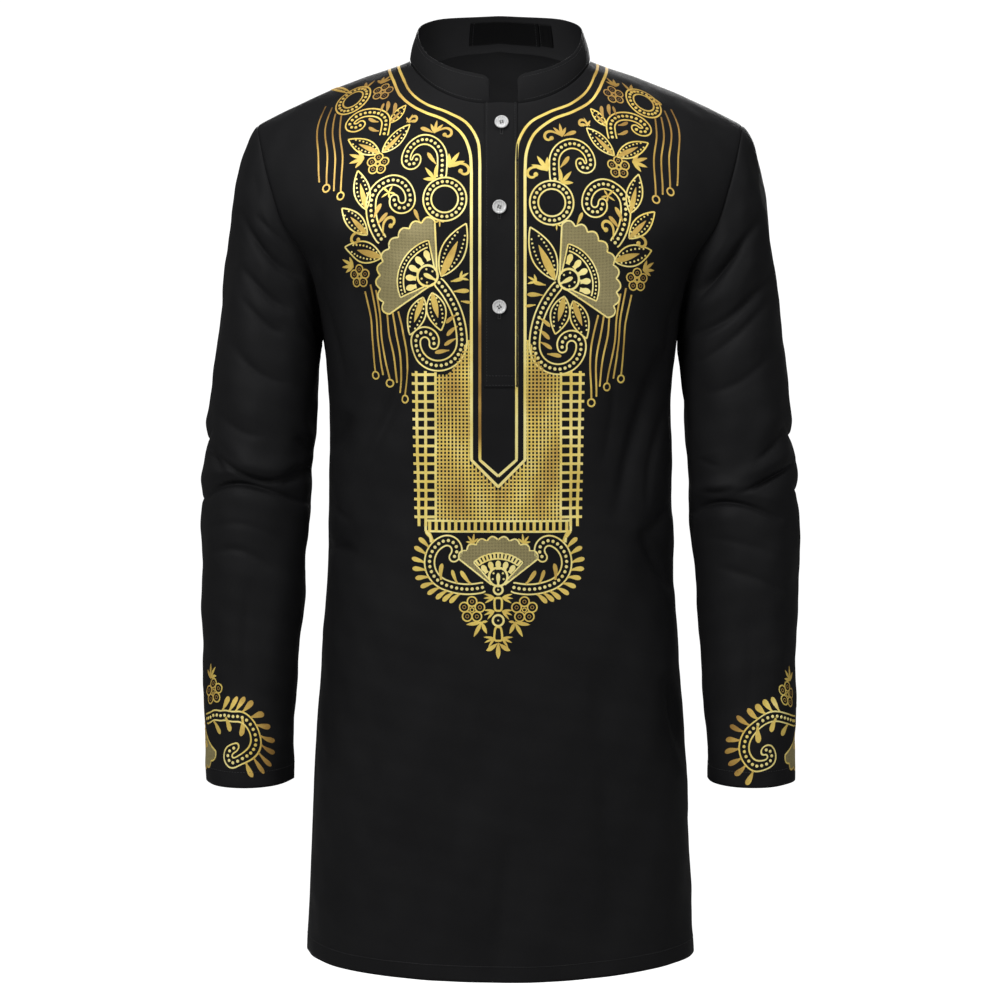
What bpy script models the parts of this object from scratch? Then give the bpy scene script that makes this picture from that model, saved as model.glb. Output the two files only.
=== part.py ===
"""Long-sleeve tunic shirt with a stand collar and a half placket, held in its worn shape.

Metres, +Z up, the front faces -Y. The origin lies between the two high shoulder points, where the
neck and shoulders of a wearer carry the shirt. A drop is a distance down from that level.
"""

from collections import namedtuple
from math import cos, pi, sin

import bmesh
import bpy
import numpy as np
from mathutils import Matrix, Vector

# Cloth
WALL = 0.0012
COLLAR_WALL = 0.0016
SEAM_GAP = 0.0003
PLACKET_WALL = 0.0010
LABEL_WALL = 0.0010

# Rows, columns and sharp rims of the walls
SHARP_DEGREES = 50
HALF_COLUMNS = 14
NECK_COLUMNS = 7
CHEST_ROWS = 12
SKIRT_ROWS = 15
CAP_ROWS = 11
COLLAR_STEPS = 2
COLLAR_ROWS = 3

# Neck hole, seen from above
NECK_HALF_WIDTH = 0.083
NECK_FRONT = 0.0805
NECK_BACK = 0.050
NECK_SQUARENESS = 2.6

# Levels
ARMPIT_DROP = 0.2555
HEM_DROP = 0.8235
HEM_DIP = 0.0095
SIDE_SQUARENESS = 2.4
ARCH_SQUARENESS = 2.2
FRONT_ARCH_DROP = 0.200
BACK_ARCH_DROP = 0.100

BodyRow = namedtuple("BodyRow", "drop half_width front_depth back_depth")
BODY = (
    BodyRow(-0.050, 0.2620, 0.0980, 0.0950),
    BodyRow(0.000, 0.2620, 0.1000, 0.1020),
    BodyRow(0.059, 0.2580, 0.1060, 0.1120),
    BodyRow(0.116, 0.2367, 0.1130, 0.1190),
    BodyRow(0.156, 0.2142, 0.1160, 0.1210),
    BodyRow(0.182, 0.1880, 0.1170, 0.1210),
    BodyRow(0.224, 0.1690, 0.1180, 0.1190),
    BodyRow(0.2555, 0.1637, 0.1180, 0.1165),
    BodyRow(0.293, 0.1592, 0.1170, 0.1130),
    BodyRow(0.349, 0.1579, 0.1150, 0.1080),
    BodyRow(0.405, 0.1590, 0.1130, 0.1045),
    BodyRow(0.461, 0.1602, 0.1125, 0.1050),
    BodyRow(0.498, 0.1626, 0.1130, 0.1085),
    BodyRow(0.535, 0.1656, 0.1135, 0.1120),
    BodyRow(0.573, 0.1676, 0.1140, 0.1150),
    BodyRow(0.611, 0.1710, 0.1140, 0.1165),
    BodyRow(0.686, 0.1750, 0.1130, 0.1160),
    BodyRow(0.762, 0.1781, 0.1130, 0.1155),
    BodyRow(0.834, 0.1815, 0.1140, 0.1165),
)

ShoulderRow = namedtuple("ShoulderRow", "out drop")
SHOULDER_LINE = (
    ShoulderRow(0.000, -0.029),
    ShoulderRow(0.040, -0.022),
    ShoulderRow(0.083, 0.000),
    ShoulderRow(0.129, 0.0160),
    ShoulderRow(0.175, 0.0350),
    ShoulderRow(0.2157, 0.0545),
    ShoulderRow(0.2400, 0.0680),
)

ArmholeRow = namedtuple("ArmholeRow", "drop front_out back_out")
ARMHOLE = (
    ArmholeRow(0.0585, 0.2230, 0.2230),
    ArmholeRow(0.1160, 0.2085, 0.2120),
    ArmholeRow(0.1556, 0.1945, 0.2010),
    ArmholeRow(0.1816, 0.1775, 0.1835),
    ArmholeRow(0.2238, 0.1668, 0.1685),
    ArmholeRow(0.2555, 0.1637, 0.1637),
)

SleeveRow = namedtuple("SleeveRow", "drop out half_out forward half_forward")
SLEEVE = (
    SleeveRow(0.2744, 0.2148, 0.0490, 0.004, 0.0620),
    SleeveRow(0.3110, 0.2187, 0.0496, 0.006, 0.0615),
    SleeveRow(0.3490, 0.2214, 0.0497, 0.008, 0.0605),
    SleeveRow(0.3850, 0.2249, 0.0506, 0.010, 0.0600),
    SleeveRow(0.4220, 0.2262, 0.0500, 0.013, 0.0585),
    SleeveRow(0.4590, 0.2278, 0.0486, 0.016, 0.0560),
    SleeveRow(0.4960, 0.2288, 0.0472, 0.019, 0.0535),
    SleeveRow(0.5330, 0.2294, 0.0448, 0.022, 0.0505),
    SleeveRow(0.5700, 0.2305, 0.0431, 0.025, 0.0475),
    SleeveRow(0.6070, 0.2314, 0.0417, 0.028, 0.0450),
    SleeveRow(0.6620, 0.2316, 0.0398, 0.032, 0.0420),
)
SLEEVE_RINGS = (
    0.2744, 0.295, 0.315, 0.333, 0.346, 0.358, 0.370, 0.382, 0.394, 0.406,
    0.418, 0.432, 0.450, 0.475, 0.505, 0.535, 0.565, 0.600, 0.635, 0.6600,
)
CUFF_DIP = 0.0030
CUFF_DIP_FROM = 0.600
ARMHOLE_GAP = 0.0005

# How the sleeve's cap leaves the armhole at the shoulder and at the armpit, and how it lands
CAP_OUT_SHOULDER = 0.71
CAP_OUT_ARMPIT = 0.21
CAP_DOWN_SHOULDER = 0.70
CAP_DOWN_ARMPIT = 0.97
CAP_FORWARD = 0.10
CAP_START_REACH = 0.14
CAP_END_REACH = 0.60
CAP_LANDING_STEP = 0.010

# Height of the stand collar's rim at angles round the neck, 0 at the front, 180 at the back
CollarRow = namedtuple("CollarRow", "angle rim_drop")
COLLAR_RIM = (
    CollarRow(0, 0.0205),
    CollarRow(30, 0.0140),
    CollarRow(55, 0.0030),
    CollarRow(90, -0.0275),
    CollarRow(130, -0.0410),
    CollarRow(180, -0.0465),
)
RIM_HALF_WIDTH = 0.0760
RIM_FRONT = 0.0715
RIM_BACK = 0.0430
COLLAR_END_LEFT = 0.0095
COLLAR_END_RIGHT = 0.0160
COLLAR_CORNER = 0.008
COLLAR_CORNER_CUT = 0.0072
COLLAR_LIFT = 0.0006
COLLAR_BELLY = 0.0014
COLLAR_MIDDLE = -0.012

# Placket, buttons and label
PLACKET_LEFT = 0.0143
PLACKET_RIGHT = 0.0160
PLACKET_END_DROP = 0.298
PLACKET_TOP_ROW = 0.06
BUTTON_RADIUS = 0.0063
BUTTON_THICK = 0.0024
BUTTON_SIDES = 20
BUTTON_HOLE = 0.0008
BUTTON_HOLE_SIDES = 8
BUTTON_HOLE_STEP = 0.0014
RimRow = namedtuple("RimRow", "radius_share height_share")
BUTTON_RIM = (
    RimRow(0.80, 0.00),
    RimRow(1.00, 0.35),
    RimRow(1.00, 0.75),
    RimRow(0.90, 1.00),
    RimRow(0.72, 0.80),
)
ButtonRow = namedtuple("ButtonRow", "name x drop")
BUTTONS = (
    ButtonRow("button_top", 0.0014, 0.0617),
    ButtonRow("button_middle", -0.0006, 0.1377),
    ButtonRow("button_low", -0.0006, 0.2261),
)
LABEL_LEFT = -0.0290
LABEL_RIGHT = 0.0380
TAB_RIGHT = 0.0500
LABEL_FOOT = 0.22
LABEL_TOP = 0.86
LABEL_BEHIND = 0.020

# Folds: a trough along a curve through three places, with a softer ridge beside it. The face is
# front or back; out and drop are seen straight on, and a side of -1 or 1 picks the half.
FOLD_STEPS = 17
FOLD_END_TAPER = 0.12
FOLD_RIDGE = 0.55
FOLD_RIDGE_AWAY = 1.7
FOLD_FACING = 1.6
FOLD_FACING_START = 0.25
FOLD_FREE_EDGE = 0.15
FOLD_FREE_TOP_ROWS = 2
FOLD_FREE_CAP_ROWS = 3
Fold = namedtuple("Fold", "face side out0 drop0 out1 drop1 out2 drop2 width depth")
BODY_FOLDS = (
    Fold("front", -1, 0.079, 0.250, 0.093, 0.304, 0.142, 0.409, 0.017, 0.0035),
    Fold("front", -1, 0.134, 0.322, 0.146, 0.345, 0.160, 0.362, 0.014, 0.0030),
    Fold("front", -1, 0.166, 0.452, 0.150, 0.444, 0.128, 0.448, 0.013, 0.0035),
    Fold("front", 1, 0.152, 0.262, 0.126, 0.330, 0.104, 0.420, 0.020, 0.0045),
    Fold("front", 1, 0.128, 0.425, 0.140, 0.452, 0.158, 0.488, 0.014, 0.0035),
    Fold("front", 1, 0.150, 0.560, 0.160, 0.600, 0.170, 0.650, 0.015, 0.0035),
    Fold("front", 1, 0.010, 0.700, 0.002, 0.760, -0.002, 0.820, 0.020, 0.0025),
    Fold("back", -1, 0.176, 0.190, 0.130, 0.270, 0.078, 0.330, 0.018, 0.0045),
    Fold("back", 1, 0.176, 0.195, 0.135, 0.265, 0.092, 0.345, 0.018, 0.0040),
    Fold("back", -1, 0.140, 0.405, 0.070, 0.422, 0.000, 0.415, 0.017, 0.0040),
    Fold("back", 1, 0.145, 0.440, 0.080, 0.452, 0.010, 0.440, 0.017, 0.0035),
    Fold("back", 1, 0.060, 0.560, 0.072, 0.680, 0.070, 0.810, 0.024, 0.0040),
    Fold("back", -1, 0.085, 0.590, 0.094, 0.700, 0.098, 0.815, 0.024, 0.0035),
)
LEFT_SLEEVE_FOLDS = (
    Fold("front", -1, 0.238, 0.136, 0.212, 0.178, 0.176, 0.200, 0.012, 0.0045),
    Fold("front", -1, 0.236, 0.188, 0.214, 0.213, 0.188, 0.230, 0.012, 0.0035),
    Fold("front", -1, 0.266, 0.349, 0.217, 0.383, 0.172, 0.366, 0.012, 0.0050),
    Fold("front", -1, 0.276, 0.404, 0.230, 0.387, 0.168, 0.416, 0.012, 0.0045),
    Fold("back", -1, 0.240, 0.150, 0.215, 0.190, 0.182, 0.222, 0.013, 0.0045),
    Fold("back", -1, 0.270, 0.372, 0.225, 0.395, 0.176, 0.384, 0.013, 0.0045),
    Fold("back", -1, 0.272, 0.455, 0.228, 0.445, 0.180, 0.470, 0.014, 0.0040),
)
RIGHT_SLEEVE_FOLDS = (
    Fold("front", 1, 0.176, 0.213, 0.206, 0.186, 0.242, 0.139, 0.012, 0.0045),
    Fold("front", 1, 0.172, 0.252, 0.212, 0.232, 0.253, 0.192, 0.012, 0.0045),
    Fold("front", 1, 0.174, 0.400, 0.221, 0.392, 0.270, 0.360, 0.012, 0.0050),
    Fold("front", 1, 0.170, 0.408, 0.213, 0.416, 0.268, 0.432, 0.012, 0.0040),
    Fold("back", 1, 0.182, 0.230, 0.215, 0.196, 0.242, 0.150, 0.013, 0.0045),
    Fold("back", 1, 0.178, 0.378, 0.225, 0.398, 0.272, 0.380, 0.013, 0.0045),
    Fold("back", 1, 0.182, 0.462, 0.230, 0.448, 0.274, 0.470, 0.014, 0.0040),
)


def clear_scene():
    for thing in list(bpy.data.objects):
        bpy.data.objects.remove(thing, do_unlink=True)


def smooth(places, values, at):
    """A soft curve through a table's values."""
    places = np.asarray(places, float)
    values = np.asarray(values, float)
    slopes = np.gradient(values, places)
    at = np.clip(np.asarray(at, float), places[0], places[-1])
    i = np.clip(np.searchsorted(places, at) - 1, 0, len(places) - 2)
    step = places[i + 1] - places[i]
    t = (at - places[i]) / step
    rise = (2 * t**3 - 3 * t**2 + 1) * values[i] + (3 * t**2 - 2 * t**3) * values[i + 1]
    bend = (t**3 - 2 * t**2 + t) * slopes[i] + (t**3 - t**2) * slopes[i + 1]
    return rise + bend * step


def column_of(table, place, value, at):
    """One named column of a table, read at a place of another."""
    return smooth([getattr(r, place) for r in table], [getattr(r, value) for r in table], at)


def body_point(face, x, z):
    """The cloth's outer surface over a place seen straight on from the front or the back."""
    half = column_of(BODY, "drop", "half_width", -z)
    depth = column_of(BODY, "drop", face + "_depth", -z)
    round_side = max(0.0, 1 - min(1.0, abs(x) / half) ** SIDE_SQUARENESS) ** (1 / SIDE_SQUARENESS)
    top = -column_of(SHOULDER_LINE, "out", "drop", abs(x))
    foot = -(FRONT_ARCH_DROP if face == "front" else BACK_ARCH_DROP)
    climb = min(1.0, max(0.0, (z - foot) / (top - foot)))
    arch = (1 - climb**ARCH_SQUARENESS) ** (1 / ARCH_SQUARENESS)
    y = depth * round_side * arch
    return np.array((x, -y if face == "front" else y, z))


def neck_point(angle):
    """The neck seam at an angle round the neck, in degrees, 0 at the front and 180 at the back."""
    turn = np.radians(angle)
    power = 2 / NECK_SQUARENESS
    across = abs(sin(turn)) ** power * (1 if sin(turn) >= 0 else -1)
    along = abs(cos(turn)) ** power
    face = "front" if cos(turn) >= 0 else "back"
    x = NECK_HALF_WIDTH * across
    y = along * (NECK_FRONT if face == "front" else NECK_BACK)
    foot = -(FRONT_ARCH_DROP if face == "front" else BACK_ARCH_DROP)
    top = -column_of(SHOULDER_LINE, "out", "drop", abs(x))
    z = top
    for _ in range(8):
        half = column_of(BODY, "drop", "half_width", -z)
        depth = column_of(BODY, "drop", face + "_depth", -z)
        reach = depth * (1 - (abs(x) / half) ** SIDE_SQUARENESS) ** (1 / SIDE_SQUARENESS)
        arch = min(1.0, y / reach)
        z = foot + (top - foot) * (1 - arch**ARCH_SQUARENESS) ** (1 / ARCH_SQUARENESS)
    return np.array((x, -y if face == "front" else y, z))


def panel_grid(face):
    """Outer points of the front or back, rows from the neck and shoulder seams down to the hem."""
    shoulder_out = ARMHOLE[0].front_out
    rows = []
    columns = range(-HALF_COLUMNS, HALF_COLUMNS + 1)
    tops = []
    for c in columns:
        s = abs(c)
        if s <= NECK_COLUMNS:
            angle = 90 * s / NECK_COLUMNS
            x, _, z = neck_point(angle if face == "front" else 180 - angle)
        else:
            part = (s - NECK_COLUMNS) / (HALF_COLUMNS - NECK_COLUMNS)
            x = NECK_HALF_WIDTH + part * (shoulder_out - NECK_HALF_WIDTH)
            z = -column_of(SHOULDER_LINE, "out", "drop", x)
        tops.append((abs(x) / shoulder_out, z))
    for r in range(CHEST_ROWS + 1):
        fall = 1 - cos(pi / 2 * r / CHEST_ROWS)
        edge_drop = ARMHOLE[0].drop * (1 - fall) + ARMPIT_DROP * fall
        edge = column_of(ARMHOLE, "drop", face + "_out", edge_drop)
        row = []
        for c, (share, top) in zip(columns, tops):
            side = 1 if c >= 0 else -1
            spread = sin(pi / 2 * abs(c) / HALF_COLUMNS)
            x = side * edge * (share * (1 - fall) + spread * fall)
            z = top * (1 - fall) - ARMPIT_DROP * fall
            row.append(body_point(face, x, z))
        rows.append(row)
    for r in range(1, SKIRT_ROWS + 1):
        fall = r / SKIRT_ROWS
        row = []
        for c in columns:
            side = 1 if c >= 0 else -1
            spread = sin(pi / 2 * abs(c) / HALF_COLUMNS)
            hem = HEM_DROP + HEM_DIP * (1 - spread**2)
            z = -(ARMPIT_DROP + (hem - ARMPIT_DROP) * fall)
            half = column_of(BODY, "drop", "half_width", -z)
            row.append(body_point(face, side * half * spread, z))
        rows.append(row)
    return np.array(rows)


def grid_normals(grid, outward, round_tube=False):
    """Unit normals of a grid of points, turned to the side that outward gives for a point."""
    if round_tube:
        across = np.roll(grid, -1, axis=1) - np.roll(grid, 1, axis=1)
    else:
        across = np.gradient(grid, axis=1)
    down = np.gradient(grid, axis=0)
    normals = np.cross(across, down)
    normals /= np.linalg.norm(normals, axis=2, keepdims=True)
    facing = np.sum(normals * outward, axis=2)
    if np.sum(facing) < 0:
        normals = -normals
    return normals


def curve_through(first, middle, last, t):
    """A curve that passes first, middle and last at t = 0, a half and 1."""
    pull = 2 * middle - (first + last) / 2
    return (1 - t) ** 2 * first + 2 * t * (1 - t) * pull + t**2 * last


def fold_shift(grid, normals, folds):
    """How far each point moves along its normal for the troughs and ridges of the folds."""
    shift = np.zeros(grid.shape[:2])
    for fold in folds:
        t = np.linspace(0, 1, FOLD_STEPS)
        out = curve_through(fold.out0, fold.out1, fold.out2, t)
        drop = curve_through(fold.drop0, fold.drop1, fold.drop2, t)
        line = np.stack((out * fold.side, -drop), axis=1)
        flat = grid[:, :, (0, 2)][:, :, None, :] - line[None, None]
        away = np.sqrt(np.sum(flat**2, axis=3))
        nearest = np.argmin(away, axis=2)
        distance = np.min(away, axis=2)
        heading = np.gradient(line, axis=0)[nearest]
        offset = np.take_along_axis(flat, nearest[:, :, None, None], axis=2)[:, :, 0]
        hand = np.sign(heading[:, :, 0] * offset[:, :, 1] - heading[:, :, 1] * offset[:, :, 0])
        along = t[nearest]
        taper = np.sin(pi * (FOLD_END_TAPER + (1 - 2 * FOLD_END_TAPER) * along))
        facing = -normals[:, :, 1] if fold.face == "front" else normals[:, :, 1]
        facing = np.clip(facing * FOLD_FACING + FOLD_FACING_START, 0, 1)
        trough = np.exp(-((distance / fold.width) ** 2))
        ridge = np.exp(-((distance * hand / fold.width - FOLD_RIDGE_AWAY) ** 2))
        shift += fold.depth * taper * facing * (FOLD_RIDGE * ridge - trough)
    return shift


def folded(grid, normals, folds, keep):
    """The grid with its folds; keep is 0 at points that stay where they are."""
    shift = fold_shift(grid, normals, folds) * keep
    return grid + normals * shift[:, :, None]


def wall_mesh(name, outer, inner, round_tube=False):
    """One closed body between two grids of points."""
    rows, columns = outer.shape[:2]
    points = [tuple(p) for p in outer.reshape(-1, 3)] + [tuple(p) for p in inner.reshape(-1, 3)]
    below = rows * columns
    faces = []
    last = columns if round_tube else columns - 1
    for r in range(rows - 1):
        for c in range(last):
            d = (c + 1) % columns
            a, b = r * columns + c, r * columns + d
            e, f = (r + 1) * columns + d, (r + 1) * columns + c
            faces.append((a, b, e, f))
            faces.append((below + f, below + e, below + b, below + a))
    for c in range(last):
        d = (c + 1) % columns
        faces.append((below + c, below + d, d, c))
        base = (rows - 1) * columns
        faces.append((base + c, base + d, below + base + d, below + base + c))
    if not round_tube:
        for r in range(rows - 1):
            a, f = r * columns, (r + 1) * columns
            faces.append((a, f, below + f, below + a))
            faces.append((below + a + last, below + f + last, f + last, a + last))
    mesh = bpy.data.meshes.new(name)
    mesh.from_pydata(points, [], faces)
    tidy = bmesh.new()
    tidy.from_mesh(mesh)
    bmesh.ops.recalc_face_normals(tidy, faces=tidy.faces)
    if tidy.calc_volume(signed=True) < 0:
        bmesh.ops.reverse_faces(tidy, faces=tidy.faces)
    tidy.to_mesh(mesh)
    tidy.free()
    return mesh


def finish(name, colour, roughness, metallic=0.0):
    """A plain finish for one piece."""
    material = bpy.data.materials.new(name)
    material.use_nodes = True
    shader = material.node_tree.nodes["Principled BSDF"]
    shader.inputs["Base Color"].default_value = (*colour, 1)
    shader.inputs["Roughness"].default_value = roughness
    shader.inputs["Metallic"].default_value = metallic
    return material


def add_piece(name, mesh, material):
    """Puts a named piece in the scene, smooth but for its sharp rims."""
    mesh.materials.append(material)
    mesh.shade_smooth()
    mesh.set_sharp_from_angle(angle=np.radians(SHARP_DEGREES))
    piece = bpy.data.objects.new(name, mesh)
    bpy.context.scene.collection.objects.link(piece)
    return piece


def on_grid(grid, row, column):
    """The point of a grid at a row and column that may lie between its own."""
    r = int(min(max(0, row), grid.shape[0] - 1.000001))
    c = int(min(max(0, column), grid.shape[1] - 1.000001))
    u, v = row - r, column - c
    top = grid[r, c] * (1 - v) + grid[r, c + 1] * v
    low = grid[r + 1, c] * (1 - v) + grid[r + 1, c + 1] * v
    return top * (1 - u) + low * u


def steps_between(first, last):
    """First, each whole number between, and last."""
    whole = [k for k in range(int(np.ceil(first + 1e-6)), int(np.floor(last - 1e-6)) + 1)]
    return [first] + whole + [last]


def laid_on(grid, normals, rows, columns, lift, wall):
    """Outer and inner points of a layer that lies on a grid, its edges at fractional places."""
    foot = np.array([[on_grid(grid, r, c) for c in columns(r)] for r in rows])
    way = np.array([[on_grid(normals, r, c) for c in columns(r)] for r in rows])
    way /= np.linalg.norm(way, axis=2, keepdims=True)
    return foot + way * (lift + wall), foot + way * lift


def sleeve_ring(side, drop, angle):
    """A point of the sleeve below the cap; the angle is 0 outside, 90 in front and 180 inside."""
    out = column_of(SLEEVE, "drop", "out", drop)
    half_out = column_of(SLEEVE, "drop", "half_out", drop)
    forward = column_of(SLEEVE, "drop", "forward", drop)
    half_forward = column_of(SLEEVE, "drop", "half_forward", drop)
    cuff = max(0.0, (drop - CUFF_DIP_FROM) / (SLEEVE_RINGS[-1] - CUFF_DIP_FROM))
    z = -drop - CUFF_DIP * cuff * sin(angle)
    return np.array((side * (out + half_out * cos(angle)), -forward - half_forward * sin(angle), z))


def sleeve_grid(front, back, side):
    """Outer points of one sleeve: the cap from the armhole to the upper arm, then rings to the hem."""
    column = -1 if side > 0 else 0
    before = front[: CHEST_ROWS + 1, column]
    behind = back[: CHEST_ROWS + 1, column]
    loop = np.concatenate((before, behind[-2:0:-1]))
    share_front = np.concatenate(([0], np.cumsum(np.linalg.norm(np.diff(before, axis=0), axis=1))))
    share_back = np.concatenate(([0], np.cumsum(np.linalg.norm(np.diff(behind, axis=0), axis=1))))
    angles = list(pi * share_front / share_front[-1])
    angles += list(2 * pi - (pi * share_back / share_back[-1])[-2:0:-1])
    start = loop + np.array((side * ARMHOLE_GAP, 0, 0))
    rows = [[] for _ in range(CAP_ROWS + 1)]
    for point, angle in zip(start, angles):
        low = 0.5 * (1 - cos(angle))
        end = sleeve_ring(side, SLEEVE[0].drop, angle)
        reach = np.linalg.norm(end - point)
        out = CAP_OUT_SHOULDER * (1 - low) + CAP_OUT_ARMPIT * low
        down = CAP_DOWN_SHOULDER * (1 - low) + CAP_DOWN_ARMPIT * low
        heading = np.array((side * out, -CAP_FORWARD * sin(angle), -down))
        heading /= np.linalg.norm(heading)
        ahead = sleeve_ring(side, SLEEVE[0].drop + CAP_LANDING_STEP, angle) - end
        ahead /= np.linalg.norm(ahead)
        first = point + heading * reach * CAP_START_REACH
        second = end - ahead * reach * CAP_END_REACH
        for k in range(CAP_ROWS + 1):
            t = k / CAP_ROWS
            place = (1 - t) ** 3 * point + 3 * t * (1 - t) ** 2 * first
            rows[k].append(place + 3 * t**2 * (1 - t) * second + t**3 * end)
    for drop in SLEEVE_RINGS[1:]:
        rows.append([sleeve_ring(side, drop, angle) for angle in angles])
    return np.array(rows)


def sleeve_mid(grid):
    return grid.mean(axis=1, keepdims=True)


def neck_edge(front, back, angle):
    """A point on the panels' neck edge at an angle round the neck, between -180 and 180."""
    column = abs(angle) / 90 * NECK_COLUMNS
    side = 1 if angle >= 0 else -1
    if column <= NECK_COLUMNS:
        return on_grid(front, 0, HALF_COLUMNS + side * column)
    return on_grid(back, 0, HALF_COLUMNS + side * (2 * NECK_COLUMNS - column))


def end_column(out):
    """How many collar columns from the middle of the front a collar end lies."""
    share = (out / NECK_HALF_WIDTH) ** (NECK_SQUARENESS / 2)
    return np.degrees(np.arcsin(share)) / 90 * NECK_COLUMNS * COLLAR_STEPS


def collar_grid(front, back):
    """Outer points of the collar stand, rows from the seam up to the rim, columns round the neck."""
    round_neck = 4 * NECK_COLUMNS * COLLAR_STEPS
    columns = steps_between(end_column(COLLAR_END_RIGHT), round_neck - end_column(COLLAR_END_LEFT))
    seam = []
    rim = []
    for column in columns:
        angle = column / round_neck * 360
        angle = angle if angle <= 180 else angle - 360
        turn = np.radians(angle)
        power = 2 / NECK_SQUARENESS
        across = abs(sin(turn)) ** power * (1 if sin(turn) >= 0 else -1)
        along = abs(cos(turn)) ** power
        y = -RIM_FRONT * along if cos(turn) >= 0 else RIM_BACK * along
        height = -column_of(COLLAR_RIM, "angle", "rim_drop", abs(angle))
        seam.append(neck_edge(front, back, angle))
        rim.append(np.array((RIM_HALF_WIDTH * across, y, height)))
    seam = np.array(seam)
    rim = np.array(rim)
    rise = (rim - seam) / np.linalg.norm(rim - seam, axis=1, keepdims=True)
    seam = seam + rise * COLLAR_LIFT
    run = np.concatenate(([0], np.cumsum(np.linalg.norm(np.diff(rim, axis=0), axis=1))))
    to_end = np.minimum(run, run[-1] - run)
    inside = np.clip(1 - to_end / COLLAR_CORNER, 0, 1)
    cut = COLLAR_CORNER_CUT * (1 - np.sqrt(1 - inside**2))
    rim = rim - rise * cut[:, None]
    rows = []
    for r in range(COLLAR_ROWS + 1):
        t = r / COLLAR_ROWS
        belly = COLLAR_BELLY * sin(pi * t)
        plan = seam * (1 - t) + rim * t
        away = plan - np.array((0, COLLAR_MIDDLE, 0))
        away[:, 2] = 0
        away /= np.linalg.norm(away, axis=1, keepdims=True)
        rows.append(plan + away * belly)
    return np.array(rows)


def fractional_column(grid, row, x):
    """Where along a grid's row the cloth has a given x."""
    places = [on_grid(grid, row, c)[0] for c in range(grid.shape[1])]
    return float(np.interp(x, places, range(grid.shape[1])))


def fractional_row(grid, z):
    """Where down a grid's centre line the cloth has a given height."""
    middle = grid[:, grid.shape[1] // 2, 2]
    return float(np.interp(-z, -middle, range(grid.shape[0])))


def make_panels(cloth):
    """Front and back, each one wall, their edges half a seam gap from the side and shoulder seams."""
    grids = {}
    for face, sign in (("front", -1), ("back", 1)):
        grid = panel_grid(face)
        normals = grid_normals(grid, np.array((0, sign, 0.3)))
        rows, columns = grid.shape[:2]
        c = np.abs(np.arange(columns) - HALF_COLUMNS) / HALF_COLUMNS
        beside = np.clip((1 - c) / FOLD_FREE_EDGE, 0, 1)[None, :]
        top = np.clip(np.arange(rows) / FOLD_FREE_TOP_ROWS, 0, 1)[:, None]
        grid = folded(grid, normals, [f for f in BODY_FOLDS if f.face == face], beside * top)
        grid[:, :, 1] += sign * SEAM_GAP / 2
        normals = grid_normals(grid, np.array((0, sign, 0.3)))
        mesh = wall_mesh(face, grid, grid - normals * WALL)
        add_piece(face, mesh, cloth)
        grids[face] = (grid, normals)
    return grids


def make_sleeves(grids, cloth):
    """Two set-in sleeves, tubes that are open at the armhole and at the hem."""
    for name, side, folds in (
        ("sleeve_left", -1, LEFT_SLEEVE_FOLDS),
        ("sleeve_right", 1, RIGHT_SLEEVE_FOLDS),
    ):
        grid = sleeve_grid(grids["front"][0], grids["back"][0], side)
        normals = grid_normals(grid, grid - sleeve_mid(grid), round_tube=True)
        top = np.clip(np.arange(grid.shape[0]) / FOLD_FREE_CAP_ROWS, 0, 1)[:, None]
        grid = folded(grid, normals, folds, top)
        normals = grid_normals(grid, grid - sleeve_mid(grid), round_tube=True)
        inner = grid - normals * WALL
        column = -1 if side > 0 else 0
        edge = np.concatenate((
            grids["front"][1][: CHEST_ROWS + 1, column],
            grids["back"][1][CHEST_ROWS - 1 : 0 : -1, column],
        ))
        same = np.clip(np.sum(edge * normals[0], axis=1), 0, 1)[:, None]
        rim = edge * same + normals[0] * (1 - same)
        rim /= np.linalg.norm(rim, axis=1, keepdims=True)
        inner[0] = grid[0] - rim * WALL
        add_piece(name, wall_mesh(name, grid, inner, round_tube=True), cloth)


def make_collar(grids, cloth):
    """The stand collar, open at the front, with rounded front corners."""
    grid = collar_grid(grids["front"][0], grids["back"][0])
    centre = np.array((0, COLLAR_MIDDLE, 0))
    outward = (grid - centre) * np.array((1, 1, 0))
    normals = grid_normals(grid, outward)
    mesh = wall_mesh("collar", grid, grid - normals * COLLAR_WALL)
    add_piece("collar", mesh, cloth)
    return grid - normals * COLLAR_WALL, -normals


def make_placket(front, normals, cloth):
    """The half placket, a band that lies on the front from the neck seam to its stitched end."""
    last = fractional_row(front, -PLACKET_END_DROP)
    rows = steps_between(PLACKET_TOP_ROW, last)

    def columns(row):
        left = fractional_column(front, row, -PLACKET_LEFT)
        right = fractional_column(front, row, PLACKET_RIGHT)
        middle = HALF_COLUMNS
        return [left, (left + middle) / 2, middle, (right + middle) / 2, right]

    outer, inner = laid_on(front, normals, rows, columns, SEAM_GAP, PLACKET_WALL)
    add_piece("placket", wall_mesh("placket", outer, inner), cloth)


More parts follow.
